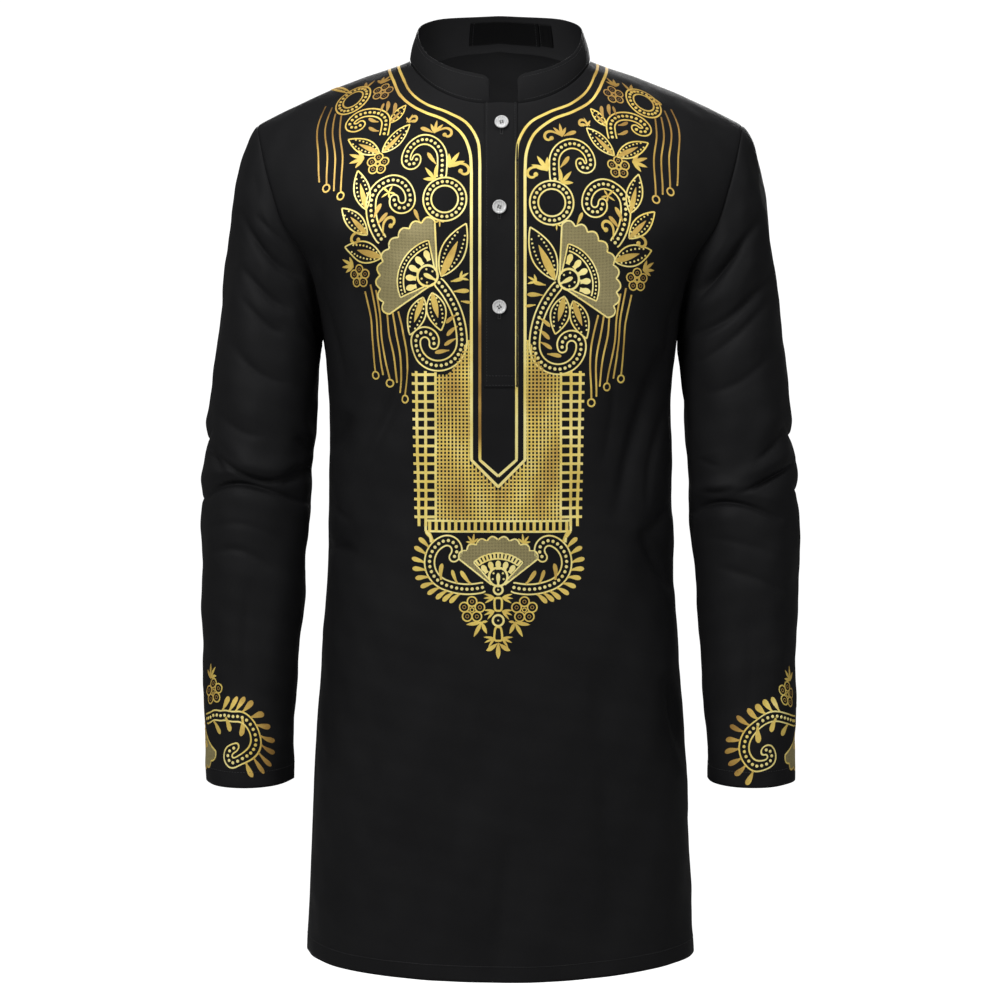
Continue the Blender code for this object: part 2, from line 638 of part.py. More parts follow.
def make_buttons(front, normals, pearl):
    """Three four-hole buttons on the placket."""
    for row in BUTTONS:
        place = fractional_row(front, -row.drop)
        column = fractional_column(front, place, row.x)
        foot = Vector(on_grid(front, place, column))
        way = Vector(on_grid(normals, place, column)).normalized()
        lift = SEAM_GAP * 2 + PLACKET_WALL
        side = Vector((1, 0, 0))
        side = (side - way * side.dot(way)).normalized()
        turn = Matrix((side, way.cross(side), way)).transposed().to_4x4()
        shape = bmesh.new()
        loops = []
        for rim in BUTTON_RIM:
            radius = BUTTON_RADIUS * rim.radius_share
            height = BUTTON_THICK * rim.height_share
            loop = []
            for k in range(BUTTON_SIDES):
                angle = 2 * pi * k / BUTTON_SIDES
                loop.append(shape.verts.new((radius * cos(angle), radius * sin(angle), height)))
            loops.append(loop)
        for low, high in zip(loops, loops[1:]):
            for k in range(BUTTON_SIDES):
                after = (k + 1) % BUTTON_SIDES
                shape.faces.new((low[k], low[after], high[after], high[k]))
        shape.faces.new(loops[0][::-1])
        shape.faces.new(loops[-1])
        shape.transform(Matrix.Translation(foot + way * lift) @ turn)
        mesh = bpy.data.meshes.new(row.name)
        shape.to_mesh(mesh)
        shape.free()
        button = add_piece(row.name, mesh, pearl)
        cutter = hole_cutter(row.name + "_holes", Matrix.Translation(foot + way * lift) @ turn)
        cut = button.modifiers.new("holes", "BOOLEAN")
        cut.operation = "DIFFERENCE"
        cut.solver = "EXACT"
        cut.object = cutter


def hole_cutter(name, place):
    """Four thin rods where a button's thread goes through."""
    shape = bmesh.new()
    for k in range(4):
        angle = pi / 4 + pi / 2 * k
        step = BUTTON_HOLE_STEP
        at = Matrix.Translation((step * cos(angle), step * sin(angle), BUTTON_THICK / 2))
        bmesh.ops.create_cone(
            shape, cap_ends=True, segments=BUTTON_HOLE_SIDES, radius1=BUTTON_HOLE, radius2=BUTTON_HOLE,
            depth=BUTTON_THICK * 3, matrix=at,
        )
    shape.transform(place)
    mesh = bpy.data.meshes.new(name)
    shape.to_mesh(mesh)
    shape.free()
    cutter = bpy.data.objects.new(name, mesh)
    cutter.hide_render = True
    cutter.display_type = "WIRE"
    bpy.context.scene.collection.objects.link(cutter)
    return cutter


def make_label(inside, normals, satin):
    """The neck label and its small tab, bare, on the inside of the collar at the back."""
    half_row = COLLAR_ROWS // 2 + 0.5
    xs = [on_grid(inside, half_row, c)[0] for c in range(inside.shape[1])]
    behind = [c for c in range(inside.shape[1]) if inside[0, c, 1] > LABEL_BEHIND]
    places = [xs[c] for c in behind]
    order = np.argsort(places)

    def column_at(x):
        return float(np.interp(x, np.array(places)[order], np.array(behind)[order]))

    rows = steps_between(COLLAR_ROWS * LABEL_FOOT, COLLAR_ROWS * LABEL_TOP)
    for name, low, high in (
        ("neck_label", LABEL_LEFT, LABEL_RIGHT - SEAM_GAP),
        ("size_tab", LABEL_RIGHT, TAB_RIGHT),
    ):
        a, b = sorted((column_at(low), column_at(high)))
        columns = steps_between(a, b)
        outer, inner = laid_on(inside, normals, rows, lambda row: columns, SEAM_GAP, LABEL_WALL)
        add_piece(name, wall_mesh(name, outer, inner), satin)


clear_scene()
black_cloth = finish("black satin cloth", (0.012, 0.012, 0.013), 0.55)
black_satin = finish("black label satin", (0.004, 0.004, 0.005), 0.35)
pearl_white = finish("pearl white plastic", (0.78, 0.77, 0.76), 0.25)
panels = make_panels(black_cloth)
make_sleeves(panels, black_cloth)
collar_inside = make_collar(panels, black_cloth)
make_placket(*panels["front"], black_cloth)
make_buttons(*panels["front"], pearl_white)
make_label(*collar_inside, black_satin)
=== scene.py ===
from collections import namedtuple
from math import cos, pi, radians, sin

import bmesh
import bpy
import numpy as np
from mathutils import Matrix, Vector


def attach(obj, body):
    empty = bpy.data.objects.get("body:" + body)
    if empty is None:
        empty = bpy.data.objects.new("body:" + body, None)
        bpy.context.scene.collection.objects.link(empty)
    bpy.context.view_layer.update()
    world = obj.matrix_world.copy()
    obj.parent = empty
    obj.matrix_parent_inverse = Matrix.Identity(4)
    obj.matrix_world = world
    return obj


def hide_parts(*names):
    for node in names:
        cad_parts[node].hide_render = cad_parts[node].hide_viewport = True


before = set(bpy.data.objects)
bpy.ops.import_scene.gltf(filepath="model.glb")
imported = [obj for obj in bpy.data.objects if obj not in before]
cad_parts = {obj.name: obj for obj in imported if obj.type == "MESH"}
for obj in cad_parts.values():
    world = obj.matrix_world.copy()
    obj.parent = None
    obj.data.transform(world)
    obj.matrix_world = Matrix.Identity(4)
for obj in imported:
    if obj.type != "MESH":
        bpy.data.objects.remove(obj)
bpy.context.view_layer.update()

# Room and camera. The shirt hangs in the air as on a wearer, over a pale floor in soft studio light. The
# camera stands at chest height and looks slightly down.
CAMERA_BACK = 2.7
CAMERA_HEIGHT = -0.24
CAMERA_LENS = 104.71
AIM_HEIGHT = -0.4046
FLOOR_HEIGHT = -1.62
FLOOR_RADIUS = 40.0

camera = bpy.data.objects.new("camera", bpy.data.cameras.new("camera"))
camera.data.lens = CAMERA_LENS
camera.location = (0, -CAMERA_BACK, CAMERA_HEIGHT)
aim = Vector((0, 0, AIM_HEIGHT)) - camera.location
camera.rotation_euler = aim.to_track_quat("-Z", "Y").to_euler()
bpy.context.scene.collection.objects.link(camera)
bpy.context.scene.camera = camera
bpy.context.scene.view_settings.view_transform = "Standard"


class Value:
    """A number or colour in a node tree, so that shader maths reads as an expression."""

    def __init__(self, finish, socket):
        self.finish = finish
        self.socket = socket

    def maths(self, operation, first, second):
        return self.finish.add("ShaderNodeMath", {"operation": operation}, {0: first, 1: second})

    def __add__(self, other):
        return self.maths("ADD", self, other)

    def __radd__(self, other):
        return self.maths("ADD", other, self)

    def __sub__(self, other):
        return self.maths("SUBTRACT", self, other)

    def __rsub__(self, other):
        return self.maths("SUBTRACT", other, self)

    def __mul__(self, other):
        return self.maths("MULTIPLY", self, other)

    def __rmul__(self, other):
        return self.maths("MULTIPLY", other, self)

    def sine(self):
        return self.maths("SINE", self, 0.0)


class Finish:
    """A material on a Principled shader, with add for every other node."""

    def __init__(self, name, colour, roughness, **sockets):
        self.material = bpy.data.materials.new(name)
        self.material.use_nodes = True
        self.tree = self.material.node_tree
        self.shader = self.tree.nodes["Principled BSDF"]
        self.shader.inputs["Base Color"].default_value = (*colour, 1)
        self.shader.inputs["Roughness"].default_value = roughness
        for socket, value in sockets.items():
            self.shader.inputs[socket.replace("_", " ")].default_value = value

    def add(self, kind, settings=None, inputs=None, output=0):
        node = self.tree.nodes.new(kind)
        for key, value in (settings or {}).items():
            if key != "stops":
                setattr(node, key, value)
                continue
            ramp = node.color_ramp.elements
            while len(ramp) < len(value):
                ramp.new(0.5)
            for element, (place, colour) in zip(ramp, value):
                element.position = place
                element.color = (*colour, 1)
        for key, value in (inputs or {}).items():
            if isinstance(value, Value):
                self.tree.links.new(value.socket, node.inputs[key])
            else:
                node.inputs[key].default_value = value
        return Value(self, node.outputs[output])

    def feed(self, socket, value):
        self.tree.links.new(value.socket, self.shader.inputs[socket])

    def noise(self, place, scale, detail=2.0):
        return self.add("ShaderNodeTexNoise", {}, {"Vector": place, "Scale": scale, "Detail": detail})

    def wave(self, place, scale, distortion=0.0):
        return self.add("ShaderNodeTexWave", {}, {"Vector": place, "Scale": scale, "Distortion": distortion})

    def place(self):
        """Object coordinates."""
        return self.add("ShaderNodeTexCoord", output="Object")

    def blend(self, share, first, second):
        """A colour between two, by a share that varies over the surface."""
        inputs = {0: share, 6: (*first, 1), 7: (*second, 1)}
        return self.add("ShaderNodeMix", {"data_type": "RGBA"}, inputs, output=2)

    def bump(self, height, strength, distance):
        values = {"Height": height, "Strength": strength, "Distance": distance}
        self.feed("Normal", self.add("ShaderNodeBump", {}, values))


def show(name, mesh, body_slot=None):
    """Puts a mesh in the scene as a named piece; one given a body slot rides with the shirt under its root,
    whatever the slot's name.
    """
    piece = bpy.data.objects.new(name, mesh)
    bpy.context.scene.collection.objects.link(piece)
    if body_slot:
        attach(piece, "root")
    return piece


floor_mesh = bpy.data.meshes.new("floor")
floor_shape = bmesh.new()
bmesh.ops.create_circle(floor_shape, cap_ends=True, segments=96, radius=FLOOR_RADIUS)
bmesh.ops.translate(floor_shape, verts=floor_shape.verts, vec=(0, 0, FLOOR_HEIGHT))
floor_shape.to_mesh(floor_mesh)
floor_shape.free()
floor_finish = Finish("pale_floor", (0.50, 0.50, 0.50), 0.9, Emission_Strength=1.0, Specular_IOR_Level=0.0)
floor_seen = floor_finish.add("ShaderNodeLightPath")
floor_finish.feed("Emission Color", floor_finish.blend(floor_seen, (0.05, 0.05, 0.05), (1.0, 1.0, 1.0)))
floor_mesh.materials.append(floor_finish.material)
show("floor", floor_mesh)

# The pale backdrop is seen directly; what it lights the cloth with is dimmer
BACKDROP_SEEN = 1.1
BACKDROP_LIGHT = 0.14
world = bpy.data.worlds.new("studio")
world.use_nodes = True
bpy.context.scene.world = world
world_nodes = world.node_tree.nodes
backdrop = world_nodes["Background"]
backdrop.inputs["Color"].default_value = (1, 1, 1, 1)
backdrop.inputs["Strength"].default_value = BACKDROP_SEEN
dim = world_nodes.new("ShaderNodeBackground")
dim.inputs["Color"].default_value = (1, 1, 1, 1)
dim.inputs["Strength"].default_value = BACKDROP_LIGHT
seen = world_nodes.new("ShaderNodeLightPath")
choose = world_nodes.new("ShaderNodeMixShader")
world.node_tree.links.new(seen.outputs["Is Camera Ray"], choose.inputs[0])
world.node_tree.links.new(dim.outputs[0], choose.inputs[1])
world.node_tree.links.new(backdrop.outputs[0], choose.inputs[2])
world.node_tree.links.new(choose.outputs[0], world_nodes["World Output"].inputs[0])


def table(fields, *rows):
    """Rows whose columns are called by the names in fields."""
    Row = namedtuple("Row", fields)
    return [Row(*row) for row in rows]


LIGHTS = table(
    "name place aim width height watts",
    ("key_softbox", (-1.7, -2.3, 1.3), (0, 0, -0.05), 1.1, 1.1, 66),
    ("fill_softbox", (1.9, -2.3, 0.5), (0, 0, -0.15), 1.2, 1.2, 20),
    ("top_softbox", (0.0, -0.6, 1.8), (0, 0, -0.05), 1.4, 0.9, 24),
    ("back_softbox", (0.3, 2.7, 0.9), (0, 0, -0.35), 1.8, 1.6, 58),
    ("inside_lamp", (0, -0.02, -0.12), (0, 0.08, 0.0), 0.12, 0.05, 0.15),
)
for row in LIGHTS:
    lamp = bpy.data.lights.new(row.name, "AREA")
    lamp.shape = "RECTANGLE"
    lamp.size = row.width
    lamp.size_y = row.height
    lamp.energy = row.watts
    stand = bpy.data.objects.new(row.name, lamp)
    stand.location = row.place
    toward = Vector(row.aim) - Vector(row.place)
    stand.rotation_euler = toward.to_track_quat("-Z", "Y").to_euler()
    bpy.context.scene.collection.objects.link(stand)

# Front and back. Each is one panel of light black cloth with a faint satin sheen, shaped over a wearer's
# chest and back. They are sewn to each other at the shoulders and sides, and hang free to a turned hem.
SHELL = 0.0005
HEM_WALL = 0.0011
HEM_BAND = 0.016
SEAM_SINK = 0.0011
NECK_SINK = 0.0004
SEAM_WIDTH = 0.0009
HALF_COLUMNS = 72
CHEST_STEPS = 64
SKIRT_ROWS = 190
EDGE_COLUMNS = (0.0009, 0.0035)
EDGE_ROWS = (0.1, 0.35)
NECK_HALF_WIDTH = 0.083
NECK_FRONT = 0.0805
NECK_BACK = 0.050
NECK_SQUARENESS = 2.6
ARMPIT_DROP = 0.2555
HEM_DROP = 0.8235
HEM_DIP = 0.0095
SIDE_SQUARENESS = 2.4
ARCH_SQUARENESS = 2.2
FRONT_ARCH_DROP = 0.200
BACK_ARCH_DROP = 0.100

BODY = table(
    "drop half_width front_depth back_depth",
    (-0.050, 0.2620, 0.0980, 0.0950),
    (0.000, 0.2620, 0.1000, 0.1020),
    (0.059, 0.2580, 0.1060, 0.1120),
    (0.116, 0.2367, 0.1130, 0.1190),
    (0.156, 0.2142, 0.1160, 0.1210),
    (0.182, 0.1880, 0.1170, 0.1210),
    (0.224, 0.1690, 0.1180, 0.1190),
    (0.2555, 0.1637, 0.1180, 0.1165),
    (0.293, 0.1592, 0.1170, 0.1130),
    (0.349, 0.1579, 0.1150, 0.1080),
    (0.405, 0.1590, 0.1130, 0.1045),
    (0.461, 0.1602, 0.1125, 0.1050),
    (0.498, 0.1626, 0.1130, 0.1085),
    (0.535, 0.1656, 0.1135, 0.1120),
    (0.573, 0.1676, 0.1140, 0.1150),
    (0.611, 0.1710, 0.1140, 0.1165),
    (0.686, 0.1750, 0.1130, 0.1160),
    (0.762, 0.1781, 0.1130, 0.1155),
    (0.834, 0.1815, 0.1140, 0.1165),
)
SHOULDER_LINE = table(
    "out drop",
    (0.000, -0.029),
    (0.040, -0.022),
    (0.083, 0.000),
    (0.129, 0.0160),
    (0.175, 0.0350),
    (0.2157, 0.0545),
    (0.2400, 0.0680),
)
ARMHOLE = table(
    "drop front_out back_out",
    (0.0585, 0.2230, 0.2230),
    (0.1160, 0.2085, 0.2120),
    (0.1556, 0.1945, 0.2010),
    (0.1816, 0.1775, 0.1835),
    (0.2238, 0.1668, 0.1685),
    (0.2555, 0.1637, 0.1637),
)

# A fold runs along a curve through three places: a trough, with a softer ridge on its left hand. A row has
# the across and drop of each place, seen straight on to its face, then width and depth, in millimetres.
Fold = namedtuple("Fold", "face across0 drop0 across1 drop1 across2 drop2 width depth")


def folds_of(**faces):
    """Folds in metres, from rows in millimetres under the face that they lie on."""
    return [Fold(face, *np.divide(row, 1000)) for face, rows in faces.items() for row in rows]


BODY_FOLDS = folds_of(
    front=(
        (-79, 250, -93, 304, -142, 409, 17, 3.5), (-134, 322, -146, 345, -160, 362, 14, 3),
        (-166, 452, -150, 444, -128, 448, 13, 3.5), (152, 262, 126, 330, 104, 420, 20, 4.5),
        (128, 425, 140, 452, 158, 488, 14, 3.5), (150, 560, 160, 600, 170, 650, 15, 3.5),
        (10, 700, 2, 760, -2, 820, 20, 2.5), (-166, 205, -150, 250, -141, 300, 9, 1.6),
        (-161, 140, -163, 170, -164, 200, 10, 1.4), (-126, 130, -133, 180, -128, 232, 13, 1),
        (168, 205, 156, 240, 150, 290, 8, 1.8), (159, 300, 140, 352, 132, 410, 10, 2.2),
        (160, 395, 148, 415, 124, 440, 8, 1.6), (-158, 398, -146, 412, -130, 420, 8, 1.4),
        (60, 345, 68, 380, 62, 430, 10, 1), (98, 262, 101, 320, 90, 372, 9, 1),
        (-30, 560, -38, 660, -36, 800, 26, 1.2), (85, 540, 96, 660, 102, 810, 28, 1.6),
        (-105, 520, -118, 650, -124, 800, 24, 1.2),
    ),
    back=(
        (-176, 190, -130, 270, -78, 330, 18, 4.5), (176, 195, 135, 265, 92, 345, 18, 4),
        (-140, 405, -70, 422, 0, 415, 17, 4), (145, 440, 80, 452, 10, 440, 17, 3.5),
        (60, 560, 72, 680, 70, 810, 24, 4), (-85, 590, -94, 700, -98, 815, 24, 3.5),
        (-165, 225, -138, 290, -110, 360, 10, 1.8), (168, 230, 145, 290, 120, 370, 10, 1.8),
        (-60, 60, -20, 72, 30, 64, 10, 1.4), (-155, 380, -110, 392, -50, 388, 10, 1.8),
        (155, 400, 105, 416, 40, 410, 10, 1.8), (10, 500, 0, 640, 6, 800, 26, 1.8),
    ),
)


def smooth(places, values, at):
    """A soft curve through a table's values."""
    places = np.asarray(places, float)
    values = np.asarray(values, float)
    slopes = np.gradient(values, places)
    at = np.clip(np.asarray(at, float), places[0], places[-1])
    i = np.clip(np.searchsorted(places, at) - 1, 0, len(places) - 2)
    step = places[i + 1] - places[i]
    t = (at - places[i]) / step
    rise = (2 * t**3 - 3 * t**2 + 1) * values[i] + (3 * t**2 - 2 * t**3) * values[i + 1]
    bend = (t**3 - 2 * t**2 + t) * slopes[i] + (t**3 - t**2) * slopes[i + 1]
    return rise + bend * step


def column_of(table, place, value, at):
    """One named column of a table, read at places of another."""
    return smooth([getattr(r, place) for r in table], [getattr(r, value) for r in table], at)


def body_points(face, x, z):
    """The cloth's outer surface over places seen straight on from the front or the back."""
    half = column_of(BODY, "drop", "half_width", -z)
    depth = column_of(BODY, "drop", face + "_depth", -z)
    round_side = (1 - np.minimum(1, abs(x) / half) ** SIDE_SQUARENESS) ** (1 / SIDE_SQUARENESS)
    top = -column_of(SHOULDER_LINE, "out", "drop", abs(x))
    foot = -(FRONT_ARCH_DROP if face == "front" else BACK_ARCH_DROP)
    climb = np.clip((z - foot) / (top - foot), 0, 1)
    arch = (1 - climb**ARCH_SQUARENESS) ** (1 / ARCH_SQUARENESS)
    y = depth * round_side * arch * (-1 if face == "front" else 1)
    return np.stack((x, y, z), axis=-1)


def neck_points(angle):
    """The neck seam at angles round the neck, in degrees, 0 at the front and 180 at the back."""
    turn = np.radians(angle)
    power = 2 / NECK_SQUARENESS
    forward = np.cos(turn) >= 0
    x = NECK_HALF_WIDTH * np.abs(np.sin(turn)) ** power * np.sign(np.sin(turn))
    y = np.abs(np.cos(turn)) ** power * np.where(forward, NECK_FRONT, NECK_BACK)
    foot = np.where(forward, -FRONT_ARCH_DROP, -BACK_ARCH_DROP)
    top = -column_of(SHOULDER_LINE, "out", "drop", abs(x))
    z = top
    for _ in range(10):
        half = column_of(BODY, "drop", "half_width", -z)
        ahead = column_of(BODY, "drop", "front_depth", -z)
        behind = column_of(BODY, "drop", "back_depth", -z)
        reach = np.where(forward, ahead, behind)
        reach = reach * (1 - (abs(x) / half) ** SIDE_SQUARENESS) ** (1 / SIDE_SQUARENESS)
        arch = np.minimum(1, y / reach)
        z = foot + (top - foot) * (1 - arch**ARCH_SQUARENESS) ** (1 / ARCH_SQUARENESS)
    return np.stack((x, np.where(forward, -y, y), z), axis=-1)


column_parts = np.arange(-HALF_COLUMNS, HALF_COLUMNS + 1) / HALF_COLUMNS
edge_parts = np.array([1 - step for step in EDGE_COLUMNS])
column_parts = np.sort(np.concatenate((column_parts, edge_parts, -edge_parts)))
chest_steps = np.sort(np.concatenate((np.arange(CHEST_STEPS + 1), EDGE_ROWS)))
MIDDLE = len(column_parts) // 2
CHEST_ROW = len(chest_steps) - 1


def panel_grid(face):
    """Outer points of the front or back, rows from the neck and shoulder seams down to the hem."""
    side = np.where(column_parts >= 0, 1.0, -1.0)
    part = np.abs(column_parts)
    angle = 180 * np.minimum(part, 0.5)
    neck = neck_points(angle if face == "front" else 180 - angle)
    shoulder_out = ARMHOLE[0].front_out
    beyond = NECK_HALF_WIDTH + (part - 0.5) * 2 * (shoulder_out - NECK_HALF_WIDTH)
    out = np.where(part <= 0.5, np.abs(neck[:, 0]), beyond)
    top = np.where(part <= 0.5, neck[:, 2], -column_of(SHOULDER_LINE, "out", "drop", beyond))
    share = out / shoulder_out
    spread = np.sin(pi / 2 * part)
    rows = []
    for step in chest_steps:
        fall = 1 - cos(pi / 2 * step / CHEST_STEPS)
        edge_drop = ARMHOLE[0].drop * (1 - fall) + ARMPIT_DROP * fall
        edge = column_of(ARMHOLE, "drop", face + "_out", edge_drop)
        x = side * edge * (share * (1 - fall) + spread * fall)
        rows.append(body_points(face, x, top * (1 - fall) - ARMPIT_DROP * fall))
    hem = HEM_DROP + HEM_DIP * (1 - spread**2)
    for r in range(1, SKIRT_ROWS + 1):
        z = -(ARMPIT_DROP + (hem - ARMPIT_DROP) * r / SKIRT_ROWS)
        half = column_of(BODY, "drop", "half_width", -z)
        rows.append(body_points(face, side * half * spread, z))
    return np.array(rows)


def unit(ways):
    """The same ways, each at a length of one."""
    return ways / np.linalg.norm(ways, axis=-1, keepdims=True)


def grid_normals(grid, outward, wraps=False):
    """Unit normals of a grid of points, turned to the side that outward gives."""
    if wraps:
        across = np.roll(grid, -1, axis=1) - np.roll(grid, 1, axis=1)
    else:
        across = np.gradient(grid, axis=1)
    normals = unit(np.cross(across, np.gradient(grid, axis=0)))
    return -normals if np.sum(normals * outward) < 0 else normals


FACES = {"front": (0, 1, -1), "back": (0, 1, 1), "right": (1, 0, 1), "left": (1, 0, -1)}
FOLD_STEPS = 24
FOLD_RIDGE = 0.55
FOLD_RIDGE_AWAY = 1.7
FOLD_REACH = 5
FOLD_TROUGH = 0.65
CREASE_DEPTH = 0.95
CREASE_WIDTH = 0.0025
CREASE_SHARE = 3.2
FOLD_TAPER = 0.8
FACING_GAIN = 1.6
FACING_START = 0.25


def fold_shift(grid, normals, folds):
    """How far each point moves along its normal for the troughs and ridges of the folds."""
    shift = np.zeros(grid.shape[:2])
    t = np.linspace(0, 1, FOLD_STEPS + 1)
    for fold in folds:
        across_axis, facing_axis, sign = FACES[fold.face]
        facing = np.clip(normals[:, :, facing_axis] * sign * FACING_GAIN + FACING_START, 0, 1)
        line = []
        for first, middle, last in (
            (fold.across0, fold.across1, fold.across2),
            (-fold.drop0, -fold.drop1, -fold.drop2),
        ):
            pull = 2 * middle - (first + last) / 2
            line.append((1 - t) ** 2 * first + 2 * t * (1 - t) * pull + t**2 * last)
        line = np.stack(line, axis=1)
        spot = grid[:, :, (across_axis, 2)]
        low = line.min(axis=0) - FOLD_REACH * fold.width
        high = line.max(axis=0) + FOLD_REACH * fold.width
        near = np.all((spot > low) & (spot < high), axis=2) & (facing > 0)
        points = spot[near]
        legs = np.diff(line, axis=0)
        away = points[:, None, :] - line[None, :-1]
        along = np.clip(np.sum(away * legs, axis=2) / np.sum(legs**2, axis=1), 0, 1)
        miss = away - along[:, :, None] * legs
        distance = np.linalg.norm(miss, axis=2)
        best = np.argmin(distance, axis=1)
        pick = np.arange(len(points))
        hand = np.sign(legs[best, 0] * miss[pick, best, 1] - legs[best, 1] * miss[pick, best, 0])
        distance = distance[pick, best] / fold.width
        taper = np.sin(pi * (best + along[pick, best]) / FOLD_STEPS)
        taper = np.clip(taper, 0, 1) ** FOLD_TAPER
        crease = distance * fold.width / max(fold.width / CREASE_SHARE, CREASE_WIDTH)
        trough = FOLD_TROUGH * np.exp(-(distance**2)) + CREASE_DEPTH * np.exp(-(crease**2))
        ridge = np.exp(-((distance * hand - FOLD_RIDGE_AWAY) ** 2))
        shift[near] += fold.depth * taper * facing[near] * (FOLD_RIDGE * ridge - trough)
    return shift


CLOTH_WAVES = table(
    "across down turn height",
    (11.0, 5.0, 0.4, 0.00050),
    (-7.0, 13.0, 1.9, 0.00040),
    (23.0, 9.0, 4.1, 0.00022),
    (-31.0, 17.0, 2.7, 0.00014),
    (9.0, -41.0, 0.9, 0.00010),
)


def cloth_waves(across, down):
    """The slight unevenness of a light cloth, in metres, over places in metres."""
    total = np.zeros(across.shape)
    for wave in CLOTH_WAVES:
        total += wave.height * np.sin(2 * pi * (wave.across * across + wave.down * down) + wave.turn)
    return total


class Sheet:
    """A finished sheet of cloth as a grid of surface points, with the cloth's own measures over it."""

    def __init__(self, grid, normals, middle, top_row, wraps=False):
        self.grid = grid
        self.normals = normals
        self.wraps = wraps
        steps = np.linalg.norm(np.diff(grid, axis=1), axis=2)
        across = np.concatenate((np.zeros((grid.shape[0], 1)), np.cumsum(steps, axis=1)), axis=1)
        self.across = across - across[:, middle : middle + 1]
        steps = np.linalg.norm(np.diff(grid, axis=0), axis=2)
        down = np.concatenate((np.zeros((1, grid.shape[1])), np.cumsum(steps, axis=0)), axis=0)
        self.down = down - down[top_row : top_row + 1]
        self.middle = middle
        self.home_row = top_row
        if wraps:
            half = grid.shape[1] // 2
            close = np.linalg.norm(grid[:, -1] - grid[:, 0], axis=1)
            around = self.across[:, -1] + close
            self.across[:, half:] -= around[:, None]

    def read(self, field, r, c):
        """A field of the grid at rows and columns that may lie between its own."""
        rows, columns = field.shape[:2]
        r = np.clip(r, 0, rows - 1.0001)
        if not self.wraps:
            c = np.clip(c, 0, columns - 1.0001)
        i = np.floor(r).astype(int)
        j = np.floor(c).astype(int)
        u = r - i
        v = c - j
        k = (j + 1) % columns
        j = j % columns
        if field.ndim == 3:
            u = u[..., None]
            v = v[..., None]
        upper = field[i, j] * (1 - v) + field[i, k] * v
        lower = field[i + 1, j] * (1 - v) + field[i + 1, k] * v
        return upper * (1 - u) + lower * u

    def find(self, first, second, wanted, r, c):
        """Rows and columns at which two fields of the grid have the wanted values."""
        last = self.grid.shape[0] - 1.0001
        for _ in range(14):
            miss_a = self.read(first, r, c) - wanted[0]
            miss_b = self.read(second, r, c) - wanted[1]
            low = np.clip(r - 0.5, 0, last)
            high = np.clip(r + 0.5, 0, last)
            a_r = (self.read(first, high, c) - self.read(first, low, c)) / (high - low)
            b_r = (self.read(second, high, c) - self.read(second, low, c)) / (high - low)
            a_c = self.read(first, r, c + 0.5) - self.read(first, r, c - 0.5)
            b_c = self.read(second, r, c + 0.5) - self.read(second, r, c - 0.5)
            spread = a_r * b_c - a_c * b_r
            spread = np.where(abs(spread) < 1e-12, 1e-12, spread)
            r = np.clip(r - np.clip((miss_a * b_c - miss_b * a_c) / spread, -8, 8), 0, last)
            c = c - np.clip((a_r * miss_b - b_r * miss_a) / spread, -8, 8)
        return r, c

    def places(self, across, down):
        """Rows and columns of places on the cloth, in metres across and down."""
        r = np.interp(down, self.down[:, self.middle], np.arange(self.grid.shape[0]))
        columns = np.arange(self.grid.shape[1])
        if self.wraps:
            half = len(columns) // 2
            columns = np.concatenate((columns[half:] - len(columns), columns[:half]))
        c = np.interp(across, self.across[self.home_row, columns], columns)
        return self.find(self.across, self.down, (across, down), r, c)

    def seen(self, x, z):
        """Across and down of places that are given as seen straight on from the front."""
        r = np.interp(-z, -self.grid[:, self.middle, 2], np.arange(self.grid.shape[0]))
        c = np.interp(x, self.grid[self.home_row, :, 0], np.arange(self.grid.shape[1]))
        r, c = self.find(self.grid[:, :, 0], self.grid[:, :, 2], (x, z), r, c)
        return self.read(self.across, r, c), self.read(self.down, r, c)

    def lay(self, r, c, lift):
        """Points at rows and columns, lifted off the cloth."""
        way = unit(self.read(self.normals, r, c))
        return self.read(self.grid, r, c) + way * np.asarray(lift)[..., None]


def wall_mesh(name, outer, inner, sheet, material, wraps=False):
    """One closed thin shell between two grids of points, with the cloth's own measures as its UV map."""
    rows, columns = outer.shape[:2]
    last = columns if wraps else columns - 1
    below = rows * columns
    r = np.arange(rows - 1)[:, None] * columns
    c = np.arange(last)
    d = (c + 1) % columns
    front = np.stack((r + c, r + d, r + columns + d, r + columns + c), axis=-1).reshape(-1, 4)
    base = (rows - 1) * columns
    faces = [
        front,
        front[:, ::-1] + below,
        np.stack((below + c, below + d, d, c), axis=-1),
        np.stack((base + c, base + d, below + base + d, below + base + c), axis=-1),
    ]
    if not wraps:
        r = r[:, 0]
        faces.append(np.stack((r, r + columns, below + r + columns, below + r), axis=-1))
        r = r + last
        faces.append(np.stack((below + r, below + r + columns, r + columns, r), axis=-1))
    faces = np.concatenate(faces)
    points = np.concatenate((outer.reshape(-1, 3), inner.reshape(-1, 3)))
    mesh = bpy.data.meshes.new(name)
    mesh.from_pydata(points.tolist(), [], faces.tolist())
    spots = np.stack((sheet.across, sheet.down), axis=-1).reshape(-1, 2)
    spots = np.concatenate((spots, spots))[faces]
    if wraps:
        around = sheet.across.max() - sheet.across.min()
        torn = spots[:, :, 0].max(axis=1) - spots[:, :, 0].min(axis=1) > around / 2
        low = torn[:, None] & (spots[:, :, 0] < 0)
        spots[:, :, 0] = np.where(low, spots[:, :, 0] + around, spots[:, :, 0])
    mesh.uv_layers.new(name="cloth").uv.foreach_set("vector", spots.reshape(-1))
    mesh.materials.append(material)
    mesh.shade_smooth()
    turned = bmesh.new()
    turned.from_mesh(mesh)
    if turned.calc_volume(signed=True) < 0:
        bmesh.ops.reverse_faces(turned, faces=turned.faces)
        turned.to_mesh(mesh)
    turned.free()
    return mesh


HEM_EDGE = 0.0012
HEM_EDGE_SHARE = 0.35


